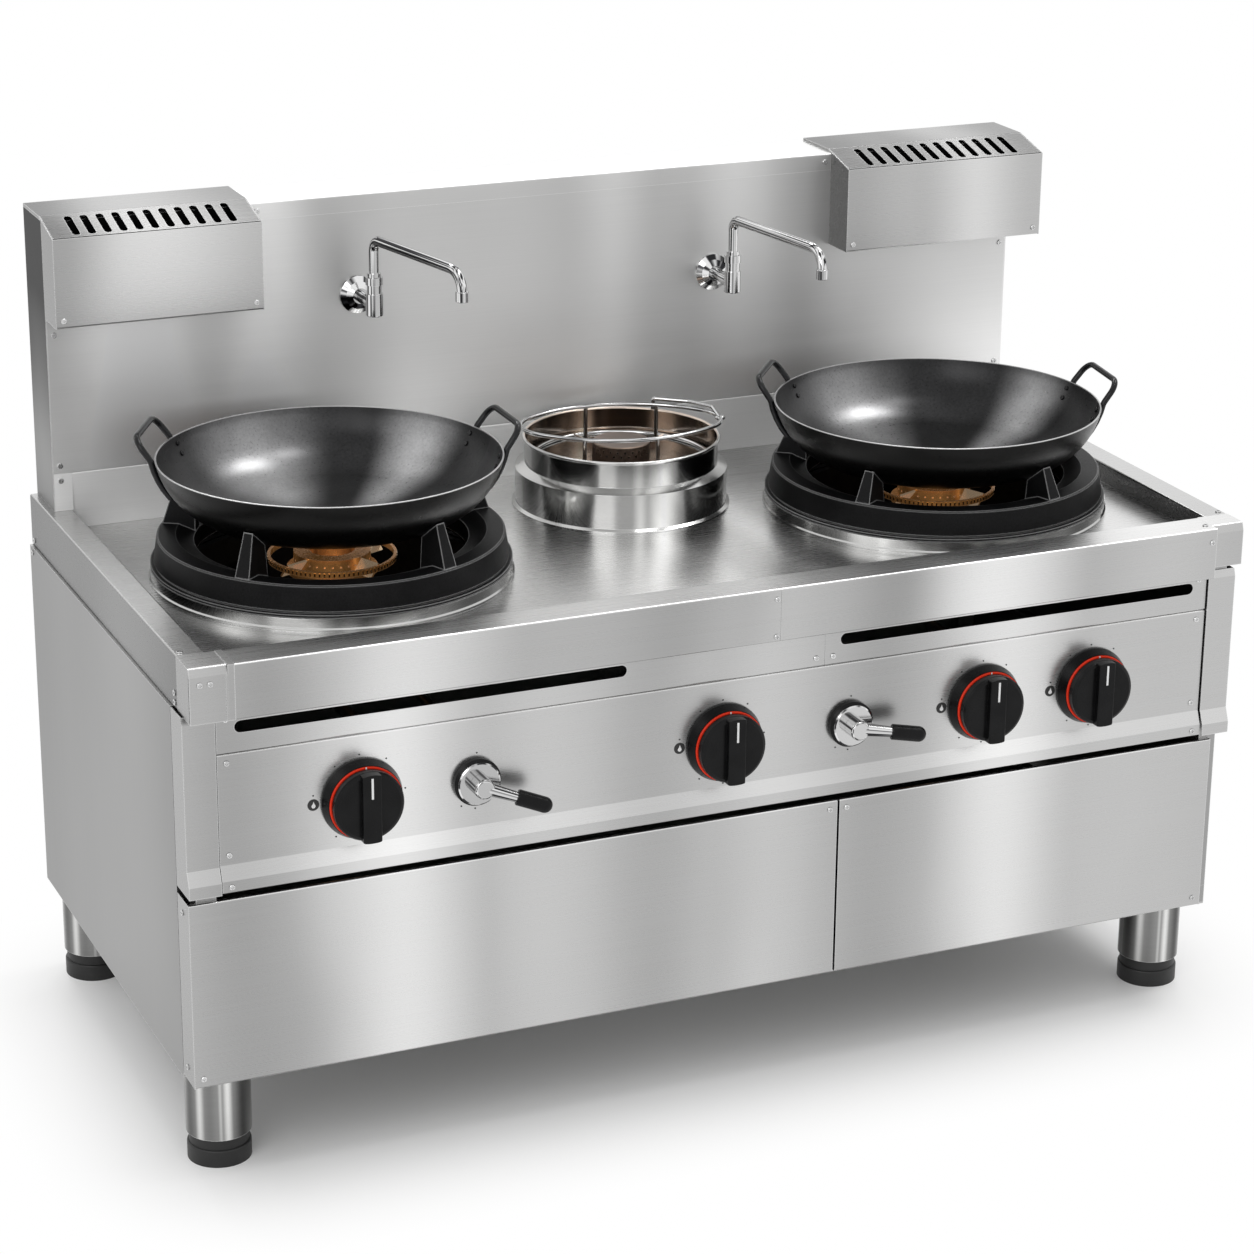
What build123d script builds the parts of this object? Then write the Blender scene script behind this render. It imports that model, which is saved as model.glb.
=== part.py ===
"""Two-station wok range with a small centre burner, in millimetres.

The cabinet stands on four adjustable feet.  A rimmed worktop carries two cast
wok rings and a collar, and a hollow splash at the back ends in two flue hoods.
X runs along the front, Y to the back and Z up.  The origin is the middle of
the outer box on the floor.
"""
from build123d import *
import math
import os

os.makedirs("parts", exist_ok=True)

# ---------------------------------------------------------------- sheets
sheet = 1.5              # cabinet panels
rim_sheet = 2.0          # rails and worktop
bend = 3.0               # outside radius of a fold
touch = 0.2              # gap between neighbours that lie on one another
lift_gap = 0.3           # gap under a piece that lifts off
running = 0.05           # radial clearance of a turning stem

# ---------------------------------------------------------------- outer form
width = 1700.0           # across the rim rails
depth = 853.0            # front rail face to back
rim_height = 809.0       # floor to the top of the rails
deck_drop = 32.0         # rails stand this far above the worktop
rail_face = 82.0         # height of the rails' outer faces
side_rail_width = 42.0
front_rail_width = 60.0
rail_return = 9.0        # inward fold under each rail
cabinet_proud = 4.0      # cabinet sides stand out from the rails
cabinet_floor = 152.0    # lower edge of the side panels

half = width / 2
front = -depth / 2
back = depth / 2
cabinet_half = half + cabinet_proud
rail_bottom = rim_height - rail_face
deck = rim_height - deck_drop
rail_inner_x = half - side_rail_width
rail_inner_y = front + front_rail_width

# ---------------------------------------------------------------- front panels
panel_setback = 35.5     # control panel behind the rail face
post_proud = 4.0         # corner posts stand out from the control panel
ledge_out = 9.0          # sloped ledge under the control panel
lower_proud = 6.0        # lower panels stand out from the control panel
apron_height = 63.5      # vent apron below the rails
control_height = 167.5   # control panel from its top seam to the ledge
ledge_drop = 22.0
lip_height = 18.0
lip_gap = 11.0           # between the lip and the lower panels
lower_rise = 6.0         # lower panels end this far above the cabinet's lower edge
post_width = 48.0
panel_gap = 2.0
post_chamfer = 12.0
side_panel_front = 85.0  # side panels start this far behind the rail face
lower_split = 168.0      # seam between the two lower panels
lower_seam = 3.6
lower_right_inset = 26.0 # lower right panel stops short of the cabinet side
apron_split = 140.0
slot_height = 18.0
slot_drop = 25.0         # middle of the air slots below the rails
slot_insets = (73.0, 70.0)     # outer ends of the slots from the rails' ends
slot_inner = (-182.0, 166.0)   # their inner ends
rail_split = 48.0        # joint in the front rail
cap_width = 55.0
cap_strap = 10.0
cap_bevel = 13.0
right_cap_setback = 12.0
right_cap_short = 14.0

panel_top = rail_bottom - apron_height
ledge_top = panel_top - control_height
lip_top = ledge_top - ledge_drop
lip_bottom = lip_top - lip_height
lower_top = lip_bottom - lip_gap
lower_bottom = cabinet_floor + lower_rise
slot_centre = rail_bottom - slot_drop
slot_left = (slot_insets[0] - half, slot_inner[0])
slot_right = (slot_inner[1], half - slot_insets[1])
panel_y = front + panel_setback
post_y = panel_y - post_proud
ledge_y = panel_y - ledge_out
lower_y = panel_y - lower_proud
inner_half = cabinet_half - post_width
side_front_y = front + side_panel_front

# ---------------------------------------------------------------- frame and legs
bar = 30.0
bar_wall = 2.0
pan_sheet = 2.0
pan_rise = 5.0           # top of the pan above the cabinet's lower edge
leg_inset = 56.0         # leg axes from the rails' ends, front and back
leg_front = 119.0
leg_back = 52.5
leg_r = 48.5
leg_wall = 3.5
leg_cap = 4.0            # closed top of each leg tube
leg_bottom = 44.0
foot_r = 44.7
foot_shoe_r = 47.5
foot_shoe = 27.0
foot_inside = 60.0       # length of the sleeve up inside the leg

pan_height = cabinet_floor + pan_rise
leg_x = half - leg_inset
leg_front_y = front + leg_front
leg_back_y = back - leg_back
frame_front = panel_y + sheet
frame_back = back - sheet
frame_half = half - rail_return - touch

# ---------------------------------------------------------------- splash and hoods
splash_depth = 104.0
splash_height = 460.0    # above the rails
splash_insets = (12.0, 22.0)   # left and right ends from the rails' ends
strip_height = 61.0
strip_lean = 7.0
strip_fold = 8.0
cap_skirt = 28.0
hood_out = 65.0
hood_drop = 153.0        # hoods hang this far below the splash's top
hood_face_drop = 15.0    # lower edge of the slanted face below the splash's top
hood_rise = 5.0
hood_shoulder = 12.0     # flat top starts this far behind the splash face
hood_widths = (327.0, 363.0)
hood_overhang = 4.0      # the right hood stands out past the rails
grille_edge = 9.0
grille_pitch = 24.5
grille_slot = 12.0

splash_top = rim_height + splash_height
splash_left = half - splash_insets[0]
splash_right = half - splash_insets[1]
strip_top = rim_height + strip_height
hood_bottom = splash_top - hood_drop
hood_face_top = splash_top - hood_face_drop
hood_top = splash_top + hood_rise
hood_left = (-splash_left, hood_widths[0] - splash_left)
hood_right = (half + hood_overhang - hood_widths[1], half + hood_overhang)
splash_y = back - splash_depth
hood_y = splash_y - hood_out

# ---------------------------------------------------------------- wok stations
station_share = 0.67     # middles of the stations: this share of the half width,
station_shift = 67.5     # moved in by this much
station_left_y = -15.5   # as the photograph shows, not quite level with each other
station_right_y = -50.5
seat_r = 272.0
seat_inner_r = 238.0
seat_height = 20.0
seat_bead = 2.0
ring_foot_r = 271.0
ring_foot = 5.0
ring_step_r = 266.0
ring_groove = 3.0        # between the foot and the wall above it
ring_top_r = 260.5
ring_height = 46.0
ring_flat_r = 232.0
ring_hole_r = 205.0
ring_dish = 10.0
ring_wall = 7.0
ring_edge = 2.0
lug_count = 5
lug_width = 24.0         # at the ring's top
lug_top_width = 15.0     # at the crown
lug_outer_r = 258.0
lug_crown_r = 236.0
lug_seats = (50.0, 33.0) # wok seats above the flat tops of the left and right rings
lug_turns = (5.0, 0.0)   # directions of the first lugs, degrees
lug_angle = 40.0         # slope of the lugs' seats, degrees

wok_floor_radius = 600.0
wok_turn = 17.46         # slope where the floor meets the side, degrees
wok_side_radius = 116.0
wok_rim_slope = 78.9     # slope at the rim, degrees
wok_wall = 2.5
handle_angles_left = (151.0, -1.0)     # directions of the woks' handles, degrees
handle_angles_right = (142.0, -9.0)
handle_rod = 4.8
handle_half = 65.0       # half the distance between a handle's feet
handle_top_half = 62.0
handle_out = 16.0
handle_up = 31.0
handle_drops = (54.0, 41.0, 28.0, 14.0, 0.0)   # the rod's points below the rim
handle_bend = 22.0
handle_space = 0.5       # between the rod and the bowl
rivet_r = 4.0
rivet_head = 2.0
rivet_drops = (12.0, 28.0)

chamber_r = 228.0
chamber_wall = 3.0
chamber_drop = 87.0      # chamber floor below the worktop
chamber_flange_r = 236.0
chamber_hole_r = 40.0
burner_base_r = 68.0
burner_drum_r = 58.0
burner_ring_r = 97.0
burner_rise = 35.0       # drum top and ring above the worktop
burner_ring_rise = 25.0
burner_base_rise = 10.0
burner_cone = 30.0       # cone between stem and base
burner_bore_r = 34.0
burner_stem_r = 24.0
burner_rim = 4.0         # thickness of the ring round the vanes
burner_rim_height = 9.0
vane_count = 4
vane_thick = 3.0
vane_width = 25.0
vane_drop = 12.5         # middle of the vanes below the drum's top
vane_tilt = 52.0         # degrees from level
vane_turn = -67.0        # direction of the first vane, degrees
port_r = 1.6             # dark ports round the drum
port_count = 30
port_depth = 4.0
port_drop = 11.0         # below the drum's top

station_x = station_share * half - station_shift
chamber_floor = deck - chamber_drop
burner_top = deck + burner_rise
burner_ring_z = deck + burner_ring_rise
burner_base_z = deck + burner_base_rise

# ---------------------------------------------------------------- centre burner
centre_x = 38.5
centre_back = 285.0      # middle of the small burner from the back
collar_r = 169.0
collar_bead_r = 174.0
collar_bead = 6.0
collar_height = 61.0
collar_wall = 2.0
shoulder_rise = 7.0
upper_r = 154.0
collar_seat = 20.0
upper_height = 43.0
rim_roll = 3.0
drum_r = 46.0
drum_wall = 3.0
drum_rise = 101.0        # drum top above the worktop
drum_flange_r = 64.0
drum_room = 20.0         # hollow under the drum's cap
drum_port_r = 1.8
drum_ports = 24
drum_port_drops = (9.0, 16.0)  # rows of ports below the drum's top
wire_r = 3.4
wire_long = 161.0        # half lengths of the upper loop
wire_short = 102.0
wire_turn = -12.3        # long axis of the upper loop, degrees
wire_rise = 19.0         # middle of the upper loop above the collar's rim
wire_ring_r = 142.0
wire_grip = 10.0         # the grip stands this far above the loop
wire_grip_drop = 8.0     # its free end turns down this far below the loop
wire_eye = 5.0
wire_leg_angles = (62.0, 104.0, -118.0, -76.0)

centre_y = back - centre_back
drum_top = deck + drum_rise

# ---------------------------------------------------------------- controls
knob_left_inset = 257.5  # first knob from the rails' left end
knob_middle = -24.0
knob_right_insets = (436.0, 246.0)
knob_rise = 71.0         # knob axes above the ledge
bezel_r = 61.0
bezel_front_r = 56.0
bezel_depth = 20.0
bezel_floor = 5.0
mark_ring = 3.0
mark_ring_width = 4.5
knob_r = 50.0
knob_cap_r = 52.5        # the cap's rim overhangs the red ring
knob_front = 39.0
knob_bar = 28.0
knob_bar_front = 49.0
knob_round = 4.0
stem_r = 4.0
valve_r = 18.0
valve_length = 45.0
water_valve_length = 36.0
water_stub = 22.0        # from the valve's axis to the end of each stub
stem_floor = 8.0         # solid end of each valve behind its stem's bore
lever_insets = (432.0, 665.0)  # levers from the rails' left and right ends
lever_rise = 70.0
lever_base_r = 36.0
lever_base = 12.0
lever_flange_r = 32.5
lever_flange = 4.0
lever_hub_r = 15.5
lever_hub = 23.5
lever_arm = 52.0
lever_grip = 54.0
lever_arm_r = 10.5
lever_tip_r = 8.0
lever_grip_r = 12.0
lever_tilt = 15.0        # the arms lean out from the panel, degrees
lever_slopes = (-20.0, -8.0)

# ---------------------------------------------------------------- taps
tap_insets = (513.5, 572.0)    # taps from the rails' left and right ends
tap_rises = (299.5, 279.5)     # above the rails; the right one sits lower in the photograph
tap_out = 78.0
tap_flange_r = 30.0
tap_flange = 14.0
tap_neck_r = 9.5
tap_body_r = 13.5
tap_body = (-16.0, 46.0) # bottom and top of the body from the neck's axis
waist = (20.0, 34.0)     # belt round the body
riser_r = 7.8
riser_top = 105.0        # arm's axis above the neck's
riser_socket = 22.0
spout_reach = 250.0
spout_angles = (-78.0, -81.5)
spout_bend = 17.0
spout_end_bend = 30.0
spout_low = 60.0         # lower end of the tip above the neck's axis
spout_tip_r = 9.8
spout_tip = 16.0

# ---------------------------------------------------------------- gas and water
manifold_r = 17.0
manifold_inset = 90.0
inlet_inset = 110.0      # gas inlet at the left and water inlet at the right
gas_inlet_r = 13.2
gas_inlet_bore = 10.4
water_inlet_r = 10.5
water_inlet_bore = 8.0
inlet_out = 35.0         # inlets stand this far out of the back
inlet_thread = 28.0
inlet_step = 2.0         # the pipe behind an inlet's thread is this much thinner
inlet_depth = 20.0
pipe_r = 10.0
pipe_bend = 24.0
water_pipe_r = 7.0
water_rises = (24.0, 120.0)    # supply and tap pipes above the ledge
duct_inset = 260.0
duct_width = 150.0
duct_gap = 2.0           # from the splash strip and from the frame
duct_under = 40.0        # ducts start this far below the chamber floor
throat_drop = 37.0       # throat's top below the worktop
duct_drop = 29.0         # duct tops below the splash's top

screw_r = 4.5
screw_head = 1.8
screw_slot = (5.0, 1.2)        # length and width of the cross recess
screw_inset = 14.0       # screws from the edges of the front panels
apron_screw_drop = 12.0  # apron's outer screws below the rail
joint_screw_inset = 6.0  # beside the front rail's joint
joint_screw_drop = 16.0
joint_screw_rise = 8.0
cap_screw_insets = (15.0, 30.0)        # left cap's screws from the rail's end
cap_screw_drop = 25.0
right_screw_insets = (8.0, 22.0)       # screw beside the right cap: along and down
top_screw_insets = (10.0, 20.0)        # screw on the rail's top: along and back
rail_screw_insets = (9.0, 12.0)        # screws on the side rails: across and back
side_screw_rises = (10.0, 24.0)        # screws on the side rails' outer faces
side_screw_inset = 15.0  # screws near the back edges of the sides
rivet_insets = (22.0, 25.0)            # left cheek's rivets: from its ends and its back edge
splash_screw_inset = 12.0
splash_screw_rise = 220.0              # upper splash screws above the strip

knob_x = (knob_left_inset - half, knob_middle, half - knob_right_insets[0], half - knob_right_insets[1])
knob_z = ledge_top + knob_rise
lever_x = (lever_insets[0] - half, half - lever_insets[1])
lever_z = ledge_top + lever_rise
tap_x = (tap_insets[0] - half, half - tap_insets[1])
tap_z = (rim_height + tap_rises[0], rim_height + tap_rises[1])
manifold_half = half - manifold_inset
gas_inlet_x = inlet_inset - half
water_inlet_x = half - inlet_inset
water_low = ledge_top + water_rises[0]
water_high = ledge_top + water_rises[1]
duct_centre = half - duct_inset
duct_low = chamber_floor - duct_under
duct_throat = deck - throat_drop
duct_top = splash_top - duct_drop
duct_y = (splash_y + strip_lean + sheet + duct_gap, frame_back - bar - duct_gap)
manifold_y = panel_y + sheet + valve_length + manifold_r
lever_end = lever_arm + lever_grip - lever_grip_r
lever_pivot = lever_base + lever_flange + lift_gap + lever_arm_r + 1
front_reach = panel_y - lever_pivot - lever_end * math.sin(math.radians(lever_tilt)) - lever_grip_r
back_reach = back + inlet_out
middle_y = (front_reach + back_reach) / 2


# ================================================================ helpers
def block(x0, x1, y0, y1, z0, z1):
    """Box between pairs of limits."""
    centre = Pos((x0 + x1) / 2, (y0 + y1) / 2, (z0 + z1) / 2)
    return centre * Box(abs(x1 - x0), abs(y1 - y0), abs(z1 - z0))


def post(x, y, z0, z1, radius):
    """Upright cylinder between two heights."""
    return Pos(x, y, (z0 + z1) / 2) * Cylinder(radius, z1 - z0)


def tube(x, y, z0, z1, radius, wall):
    """Upright hollow cylinder."""
    return post(x, y, z0, z1, radius) - post(x, y, z0 - 1, z1 + 1, radius - wall)


def shifted_line(points, gap):
    """Points of an open outline moved to its left by gap, with mitred corners."""
    normals = []
    for (ax, ay), (bx, by) in zip(points, points[1:]):
        length = math.hypot(bx - ax, by - ay)
        normals.append(((ay - by) / length, (bx - ax) / length))
    moved = []
    for i, (x, y) in enumerate(points):
        first = normals[max(i - 1, 0)]
        second = normals[min(i, len(normals) - 1)]
        spread = 1 + first[0] * second[0] + first[1] * second[1]
        moved.append((x + gap * (first[0] + second[0]) / spread,
                      y + gap * (first[1] + second[1]) / spread))
    return moved


def rounded(face, corners, radius):
    """Face with its vertices nearest to the named corners rounded."""
    for x, y in corners:
        corner = face.vertices().sort_by_distance((x, y, 0))[0]
        face = fillet(corner, radius)
    return face


def folded(points, thickness):
    """Section of a folded sheet lying to the left of an open outline."""
    inner = shifted_line(points, thickness)
    face = make_face(Polyline(*points, *inner[::-1], close=True))
    outside, inside = [], []
    for i in range(1, len(points) - 1):
        (ax, ay), (bx, by), (cx, cy) = points[i - 1:i + 2]
        turns_left = (bx - ax) * (cy - by) - (by - ay) * (cx - bx) > 0
        outside.append(points[i] if turns_left else inner[i])
        inside.append(inner[i] if turns_left else points[i])
    face = rounded(face, outside, bend)
    return rounded(face, inside, bend - thickness)


def along_x(face, x0, x1):
    """Section drawn in (Y, Z), run from x0 to x1."""
    return extrude(Plane.YZ.offset(x0) * face, x1 - x0)


def along_y(face, y0, y1):
    """Section drawn in (X, Z), run from y0 to y1."""
    plane = Plane(origin=(0, y1, 0), x_dir=(1, 0, 0), z_dir=(0, -1, 0))
    return extrude(plane * face, y1 - y0)


def turned(points):
    """Solid of revolution about Z from an outline in (radius, height)."""
    return revolve(Plane.XZ * make_face(Polyline(*points, close=True)), Axis.Z)


def rod(points, radius, corner):
    """Round rod along straight runs with rounded corners."""
    path = FilletPolyline(*points, radius=corner) if len(points) > 2 else Line(*points)
    return sweep(Plane(origin=path @ 0, z_dir=path % 0) * Circle(radius), path)


def facing(x, z):
    """Plane on the control panel, with its normal towards the cook."""
    return Plane(origin=(x, panel_y, z), x_dir=(1, 0, 0), z_dir=(0, -1, 0))


def mirrored(shape):
    """The same shape on the other side of the middle."""
    return mirror(shape, about=Plane.YZ)


# ================================================================ cabinet
def square_tube(x0, x1, y0, y1, z0, z1):
    """Hollow square bar along its longest side."""
    sizes = (x1 - x0, y1 - y0, z1 - z0)
    cuts = [bar_wall, bar_wall, bar_wall]
    cuts[sizes.index(max(sizes))] = -1
    core = block(x0 + cuts[0], x1 - cuts[0], y0 + cuts[1], y1 - cuts[1], z0 + cuts[2], z1 - cuts[2])
    return block(x0, x1, y0, y1, z0, z1) - core


def base_frame():
    """Uprights at the corners, with a ring of bars at the floor and under the worktop."""
    low = (pan_height, pan_height + bar)
    high = (deck - rim_sheet - bar, deck - rim_sheet)
    bars = []
    for z0, z1 in (low, high):
        for y0 in (frame_front, frame_back - bar):
            bars.append(square_tube(-frame_half, frame_half, y0, y0 + bar, z0, z1))
        for x0 in (-frame_half, frame_half - bar):
            bars.append(square_tube(x0, x0 + bar, frame_front + bar, frame_back - bar, z0, z1))
    for x0 in (-frame_half, frame_half - bar):
        for y0 in (frame_front, frame_back - bar):
            bars.append(square_tube(x0, x0 + bar, y0, y0 + bar, low[1], high[0]))
    return bars


def bottom_pan():
    return [block(-frame_half, frame_half, frame_front, frame_back,
                  pan_height - pan_sheet, pan_height)]


def side_panel_left():
    """Flat side with folds at its front and top that reach in to the frame."""
    skin = block(-cabinet_half, -cabinet_half + sheet, side_front_y, back,
                 cabinet_floor, rail_bottom - touch)
    front_fold = block(-cabinet_half, -frame_half - touch, side_front_y,
                       side_front_y + sheet, cabinet_floor, rail_bottom - touch)
    top_fold = block(-cabinet_half, -frame_half - touch, side_front_y, back,
                     rail_bottom - touch - sheet, rail_bottom - touch)
    return [skin + front_fold + top_fold]


def side_panel_right():
    return [mirrored(side_panel_left()[0])]


def inlet_holes():
    """Clearance round the gas and water inlets, through the back."""
    holes = []
    for x, z, radius in ((gas_inlet_x, knob_z, gas_inlet_r), (water_inlet_x, water_low, water_inlet_r)):
        holes.append(Pos(x, back, z) * Rot(90, 0, 0) * Cylinder(radius + touch, 10 * sheet))
    return holes


def back_panel():
    """One sheet from the cabinet floor to the top of the splash, notched round the rails."""
    low_half = cabinet_half - sheet - touch
    low_top = rail_bottom - sheet - 2 * touch
    plate = block(-low_half, low_half, frame_back, back, cabinet_floor, low_top)
    plate += block(-frame_half, frame_half, frame_back, back, low_top, deck)
    neck = rail_inner_x - touch
    plate += block(-neck, neck, frame_back, back, deck, rim_height + touch)
    plate += block(-splash_left + sheet + touch, splash_right - sheet - touch, frame_back, back,
                   rim_height + touch, splash_top - sheet - touch)
    for cut in inlet_holes():
        plate -= cut
    return [plate]


def stations():
    """Middles of the left and right wok stations."""
    return ((-station_x, station_left_y), (station_x, station_right_y))


def duct_limits(side):
    """X limits of a flue duct on one side."""
    middle = side * duct_centre
    return middle - duct_width / 2, middle + duct_width / 2


def worktop():
    """Flat deck with openings for the stations, the ducts and the pipes."""
    edge = half - rim_sheet - touch
    plate = block(-edge, edge, front + right_cap_setback + rim_sheet + touch, frame_back - touch,
                  deck - rim_sheet, deck)
    cuts = [post(x, y, deck - 10, deck + 10, chamber_r + touch) for x, y in stations()]
    cuts.append(post(centre_x, centre_y, deck - 10, deck + 10, drum_r + touch))
    for side in (-1, 1):
        x0, x1 = duct_limits(side)
        cuts.append(block(x0 - touch, x1 + touch, duct_y[0] - touch, duct_y[1] + touch,
                          deck - 10, deck + 10))
    for x in tap_x:
        cuts.append(post(x, water_back_y(), deck - 10, deck + 10, water_pipe_r + touch))
    for cut in cuts:
        plate -= cut
    return [plate]


def rim_rail_left():
    """Side rail: outer face, flat top and a drop to the worktop."""
    outline = [(-half + rail_return, rail_bottom), (-half, rail_bottom), (-half, rim_height),
               (-rail_inner_x, rim_height), (-rail_inner_x, deck + touch)]
    return [along_y(folded(outline[::-1], rim_sheet), rail_inner_y + touch, back)]


def rim_rail_right():
    return [mirrored(rim_rail_left()[0])]


def front_rail_section():
    outline = [(front + rail_return, rail_bottom), (front, rail_bottom), (front, rim_height),
               (rail_inner_y, rim_height), (rail_inner_y, deck + touch)]
    return folded(outline[::-1], rim_sheet)


def front_rails():
    """Two lengths of front rail that meet at a joint."""
    section = front_rail_section()
    left = along_x(section, -half + cap_width, rail_split - touch)
    right = along_x(section, rail_split + touch, half - cap_width)
    return [left, right]


def corner_cap(setback, short):
    """Hollow corner piece with a bevelled top front edge, drawn for the right end."""
    y0 = front + setback
    outline = [(y0, rail_bottom + short), (y0, rim_height - cap_bevel),
               (y0 + cap_bevel / 3, rim_height), (rail_inner_y, rim_height)]
    x0 = half - cap_width + touch
    skin = along_x(folded(outline[::-1], rim_sheet), x0, half)
    side = block(half - rim_sheet, half, y0 + cap_bevel / 3, rail_inner_y,
                 rail_bottom + short, rim_height - rim_sheet)
    shut = block(x0, half, rail_inner_y - rim_sheet, rail_inner_y, deck + touch,
                 rim_height - rim_sheet)
    return skin + side + shut


def corner_caps():
    """Left cap lies flush with the front rail; the right one is set back and shorter."""
    left = mirrored(corner_cap(0, 0))
    strap_face = block(-half + cap_width, -half + cap_width + cap_strap, front - 1, front,
                       rail_bottom + touch, rim_height)
    strap_top = block(-half + cap_width, -half + cap_width + cap_strap, front - 1,
                      rail_inner_y, rim_height, rim_height + 1)
    bridge = block(-half + cap_width - 3, -half + cap_width, front - 1, front,
                   rail_bottom + touch, rim_height - cap_bevel)
    return [left, strap_face + strap_top + bridge, corner_cap(right_cap_setback, right_cap_short)]


# ================================================================ front panels
def vent_apron(x0, x1, slot):
    """Strip under the rail with one long rounded air slot."""
    outline = [(panel_y + bar / 2, panel_top + touch), (panel_y, panel_top + touch),
               (panel_y, rail_bottom + bar)]
    plate = along_x(folded(outline[::-1], sheet), x0, x1)
    length = slot[1] - slot[0]
    plane = facing((slot[0] + slot[1]) / 2, slot_centre)
    cut = plane * extrude(SlotOverall(length, slot_height), 10, both=True)
    return plate - cut


def vent_aprons():
    low = -inner_half + panel_gap
    return [vent_apron(low, apron_split - touch, slot_left),
            vent_apron(apron_split + touch, -low, slot_right)]


def control_panel():
    """Face, sloped ledge and lip in one folded sheet, pierced for the stems."""
    outline = [(panel_y + bar / 2, panel_top - touch), (panel_y, panel_top - touch),
               (panel_y, ledge_top), (ledge_y, lip_top), (ledge_y, lip_bottom),
               (frame_front - touch, lip_bottom)]
    plate = along_x(folded(outline, sheet), -inner_half + panel_gap, inner_half - panel_gap)
    for x in knob_x:
        plate -= facing(x, knob_z) * Cylinder(stem_r + 3 * touch, 12)
    for x in lever_x:
        plate -= facing(x, lever_z) * Cylinder(stem_r + 3 * touch, 12)
    return [plate]


def corner_post_right():
    """Front and side of the upper corner, following the ledge and the lip."""
    slope = post_proud
    outline = [(post_y + slope, rail_bottom), (post_y, rail_bottom - post_chamfer),
               (post_y, ledge_top), (ledge_y - post_proud, lip_top),
               (ledge_y - post_proud, lip_bottom)]
    face = along_x(folded(outline, sheet), inner_half, cabinet_half - sheet)
    back_edge = [(side_front_y - panel_gap, lip_bottom), (side_front_y - panel_gap, rail_bottom)]
    cheek = along_x(make_face(Polyline(*outline, *back_edge, close=True)),
                    cabinet_half - sheet, cabinet_half)
    web = block(inner_half, inner_half + sheet, post_y + sheet, frame_front - touch,
                ledge_top, rail_bottom - post_chamfer)
    return face + cheek + web


def corner_posts():
    right = corner_post_right()
    return [mirrored(right), right]


def lower_panel(x0, x1):
    """Screwed cover with folded edges that reach back to the frame."""
    outline = [(frame_front - touch, lower_bottom), (lower_y, lower_bottom),
               (lower_y, lower_top), (frame_front - touch, lower_top)]
    return along_x(folded(outline[::-1], sheet), x0, x1)


def lower_panel_left():
    """The left cover also turns back along the cabinet side."""
    cover = lower_panel(-cabinet_half + sheet, lower_split - lower_seam / 2)
    cheek = block(-cabinet_half, -cabinet_half + sheet, lower_y, side_front_y - panel_gap,
                  lower_bottom, lower_top)
    return [cover + cheek]


def lower_panel_right():
    """The right cover stops short, and its end turns back to the side panel's fold."""
    edge = cabinet_half - lower_right_inset
    cover = lower_panel(lower_split + lower_seam / 2, edge)
    inside = block(edge - sheet, edge, lower_y, frame_front - touch, lower_bottom, lower_top)
    return [cover + inside]


# ================================================================ legs
def leg_places():
    return [(x, y) for y in (leg_front_y, leg_back_y) for x in (-leg_x, leg_x)]


def leg_tubes():
    """Tubes with closed tops under the bottom pan."""
    legs = []
    top = pan_height - pan_sheet
    for x, y in leg_places():
        cap = post(x, y, top - leg_cap, top, leg_r)
        legs.append(tube(x, y, leg_bottom, top - leg_cap, leg_r, leg_wall) + cap)
    return legs


def foot(x, y):
    """Sleeve that runs up inside the leg, on a rubber shoe."""
    radius = leg_r - leg_wall - lift_gap
    sleeve = post(x, y, leg_bottom - lift_gap, leg_bottom + foot_inside, radius)
    neck = post(x, y, foot_shoe, leg_bottom - lift_gap, foot_r)
    shoe = post(x, y, 0, foot_shoe, foot_shoe_r)
    shoe = fillet(shoe.edges().group_by(Axis.Z)[-1], 3)
    return sleeve + neck, shoe


# ================================================================ splash
def splash_panel():
    """Front of the splash, with a window behind each hood."""
    plate = block(-splash_left + sheet, splash_right - sheet, splash_y, splash_y + sheet,
                  strip_top + touch, splash_top - bend - touch)
    for side in (-1, 1):
        x0, x1 = duct_limits(side)
        plate -= block(x0, x1, splash_y - 1, splash_y + 3, hood_bottom + bar, duct_top - bar)
    for x, z in zip(tap_x, tap_z):
        plate -= Pos(x, splash_y, z) * Rot(90, 0, 0) * Cylinder(water_pipe_r + touch, 12)
    return [plate]


def splash_strip():
    """Lower strip: a leaning middle between flat ends that stand on the rails."""
    outline = [(splash_y + strip_fold, strip_top - touch), (splash_y, strip_top - touch),
               (splash_y + strip_lean, deck + touch)]
    middle = along_x(folded(outline, sheet), -rail_inner_x + touch, rail_inner_x - touch)
    low = rim_height + touch
    left = block(-splash_left + sheet, -rail_inner_x + touch, splash_y, splash_y + sheet,
                 low, strip_top - touch)
    right = block(rail_inner_x - touch, splash_right - sheet, splash_y, splash_y + sheet,
                  low, strip_top - touch)
    return [middle + left + right]


def splash_cover():
    """Side covers and the cap with its front skirt."""
    low = rim_height + touch
    left = block(-splash_left, -splash_left + sheet, splash_y, back, low, splash_top)
    right = block(splash_right - sheet, splash_right, splash_y, back, low, splash_top)
    outline = [(splash_y - sheet, splash_top - cap_skirt), (splash_y - sheet, splash_top),
               (back, splash_top)]
    x0 = hood_left[1] + touch
    x1 = hood_right[0] - touch
    return [left, right, along_x(folded(outline[::-1], sheet), x0, x1)]


def hood_slope():
    """Start, end and direction of the hoods' slanted face in (Y, Z)."""
    low = (hood_y, hood_face_top)
    high = (splash_y + hood_shoulder, hood_top)
    return low, high


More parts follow.
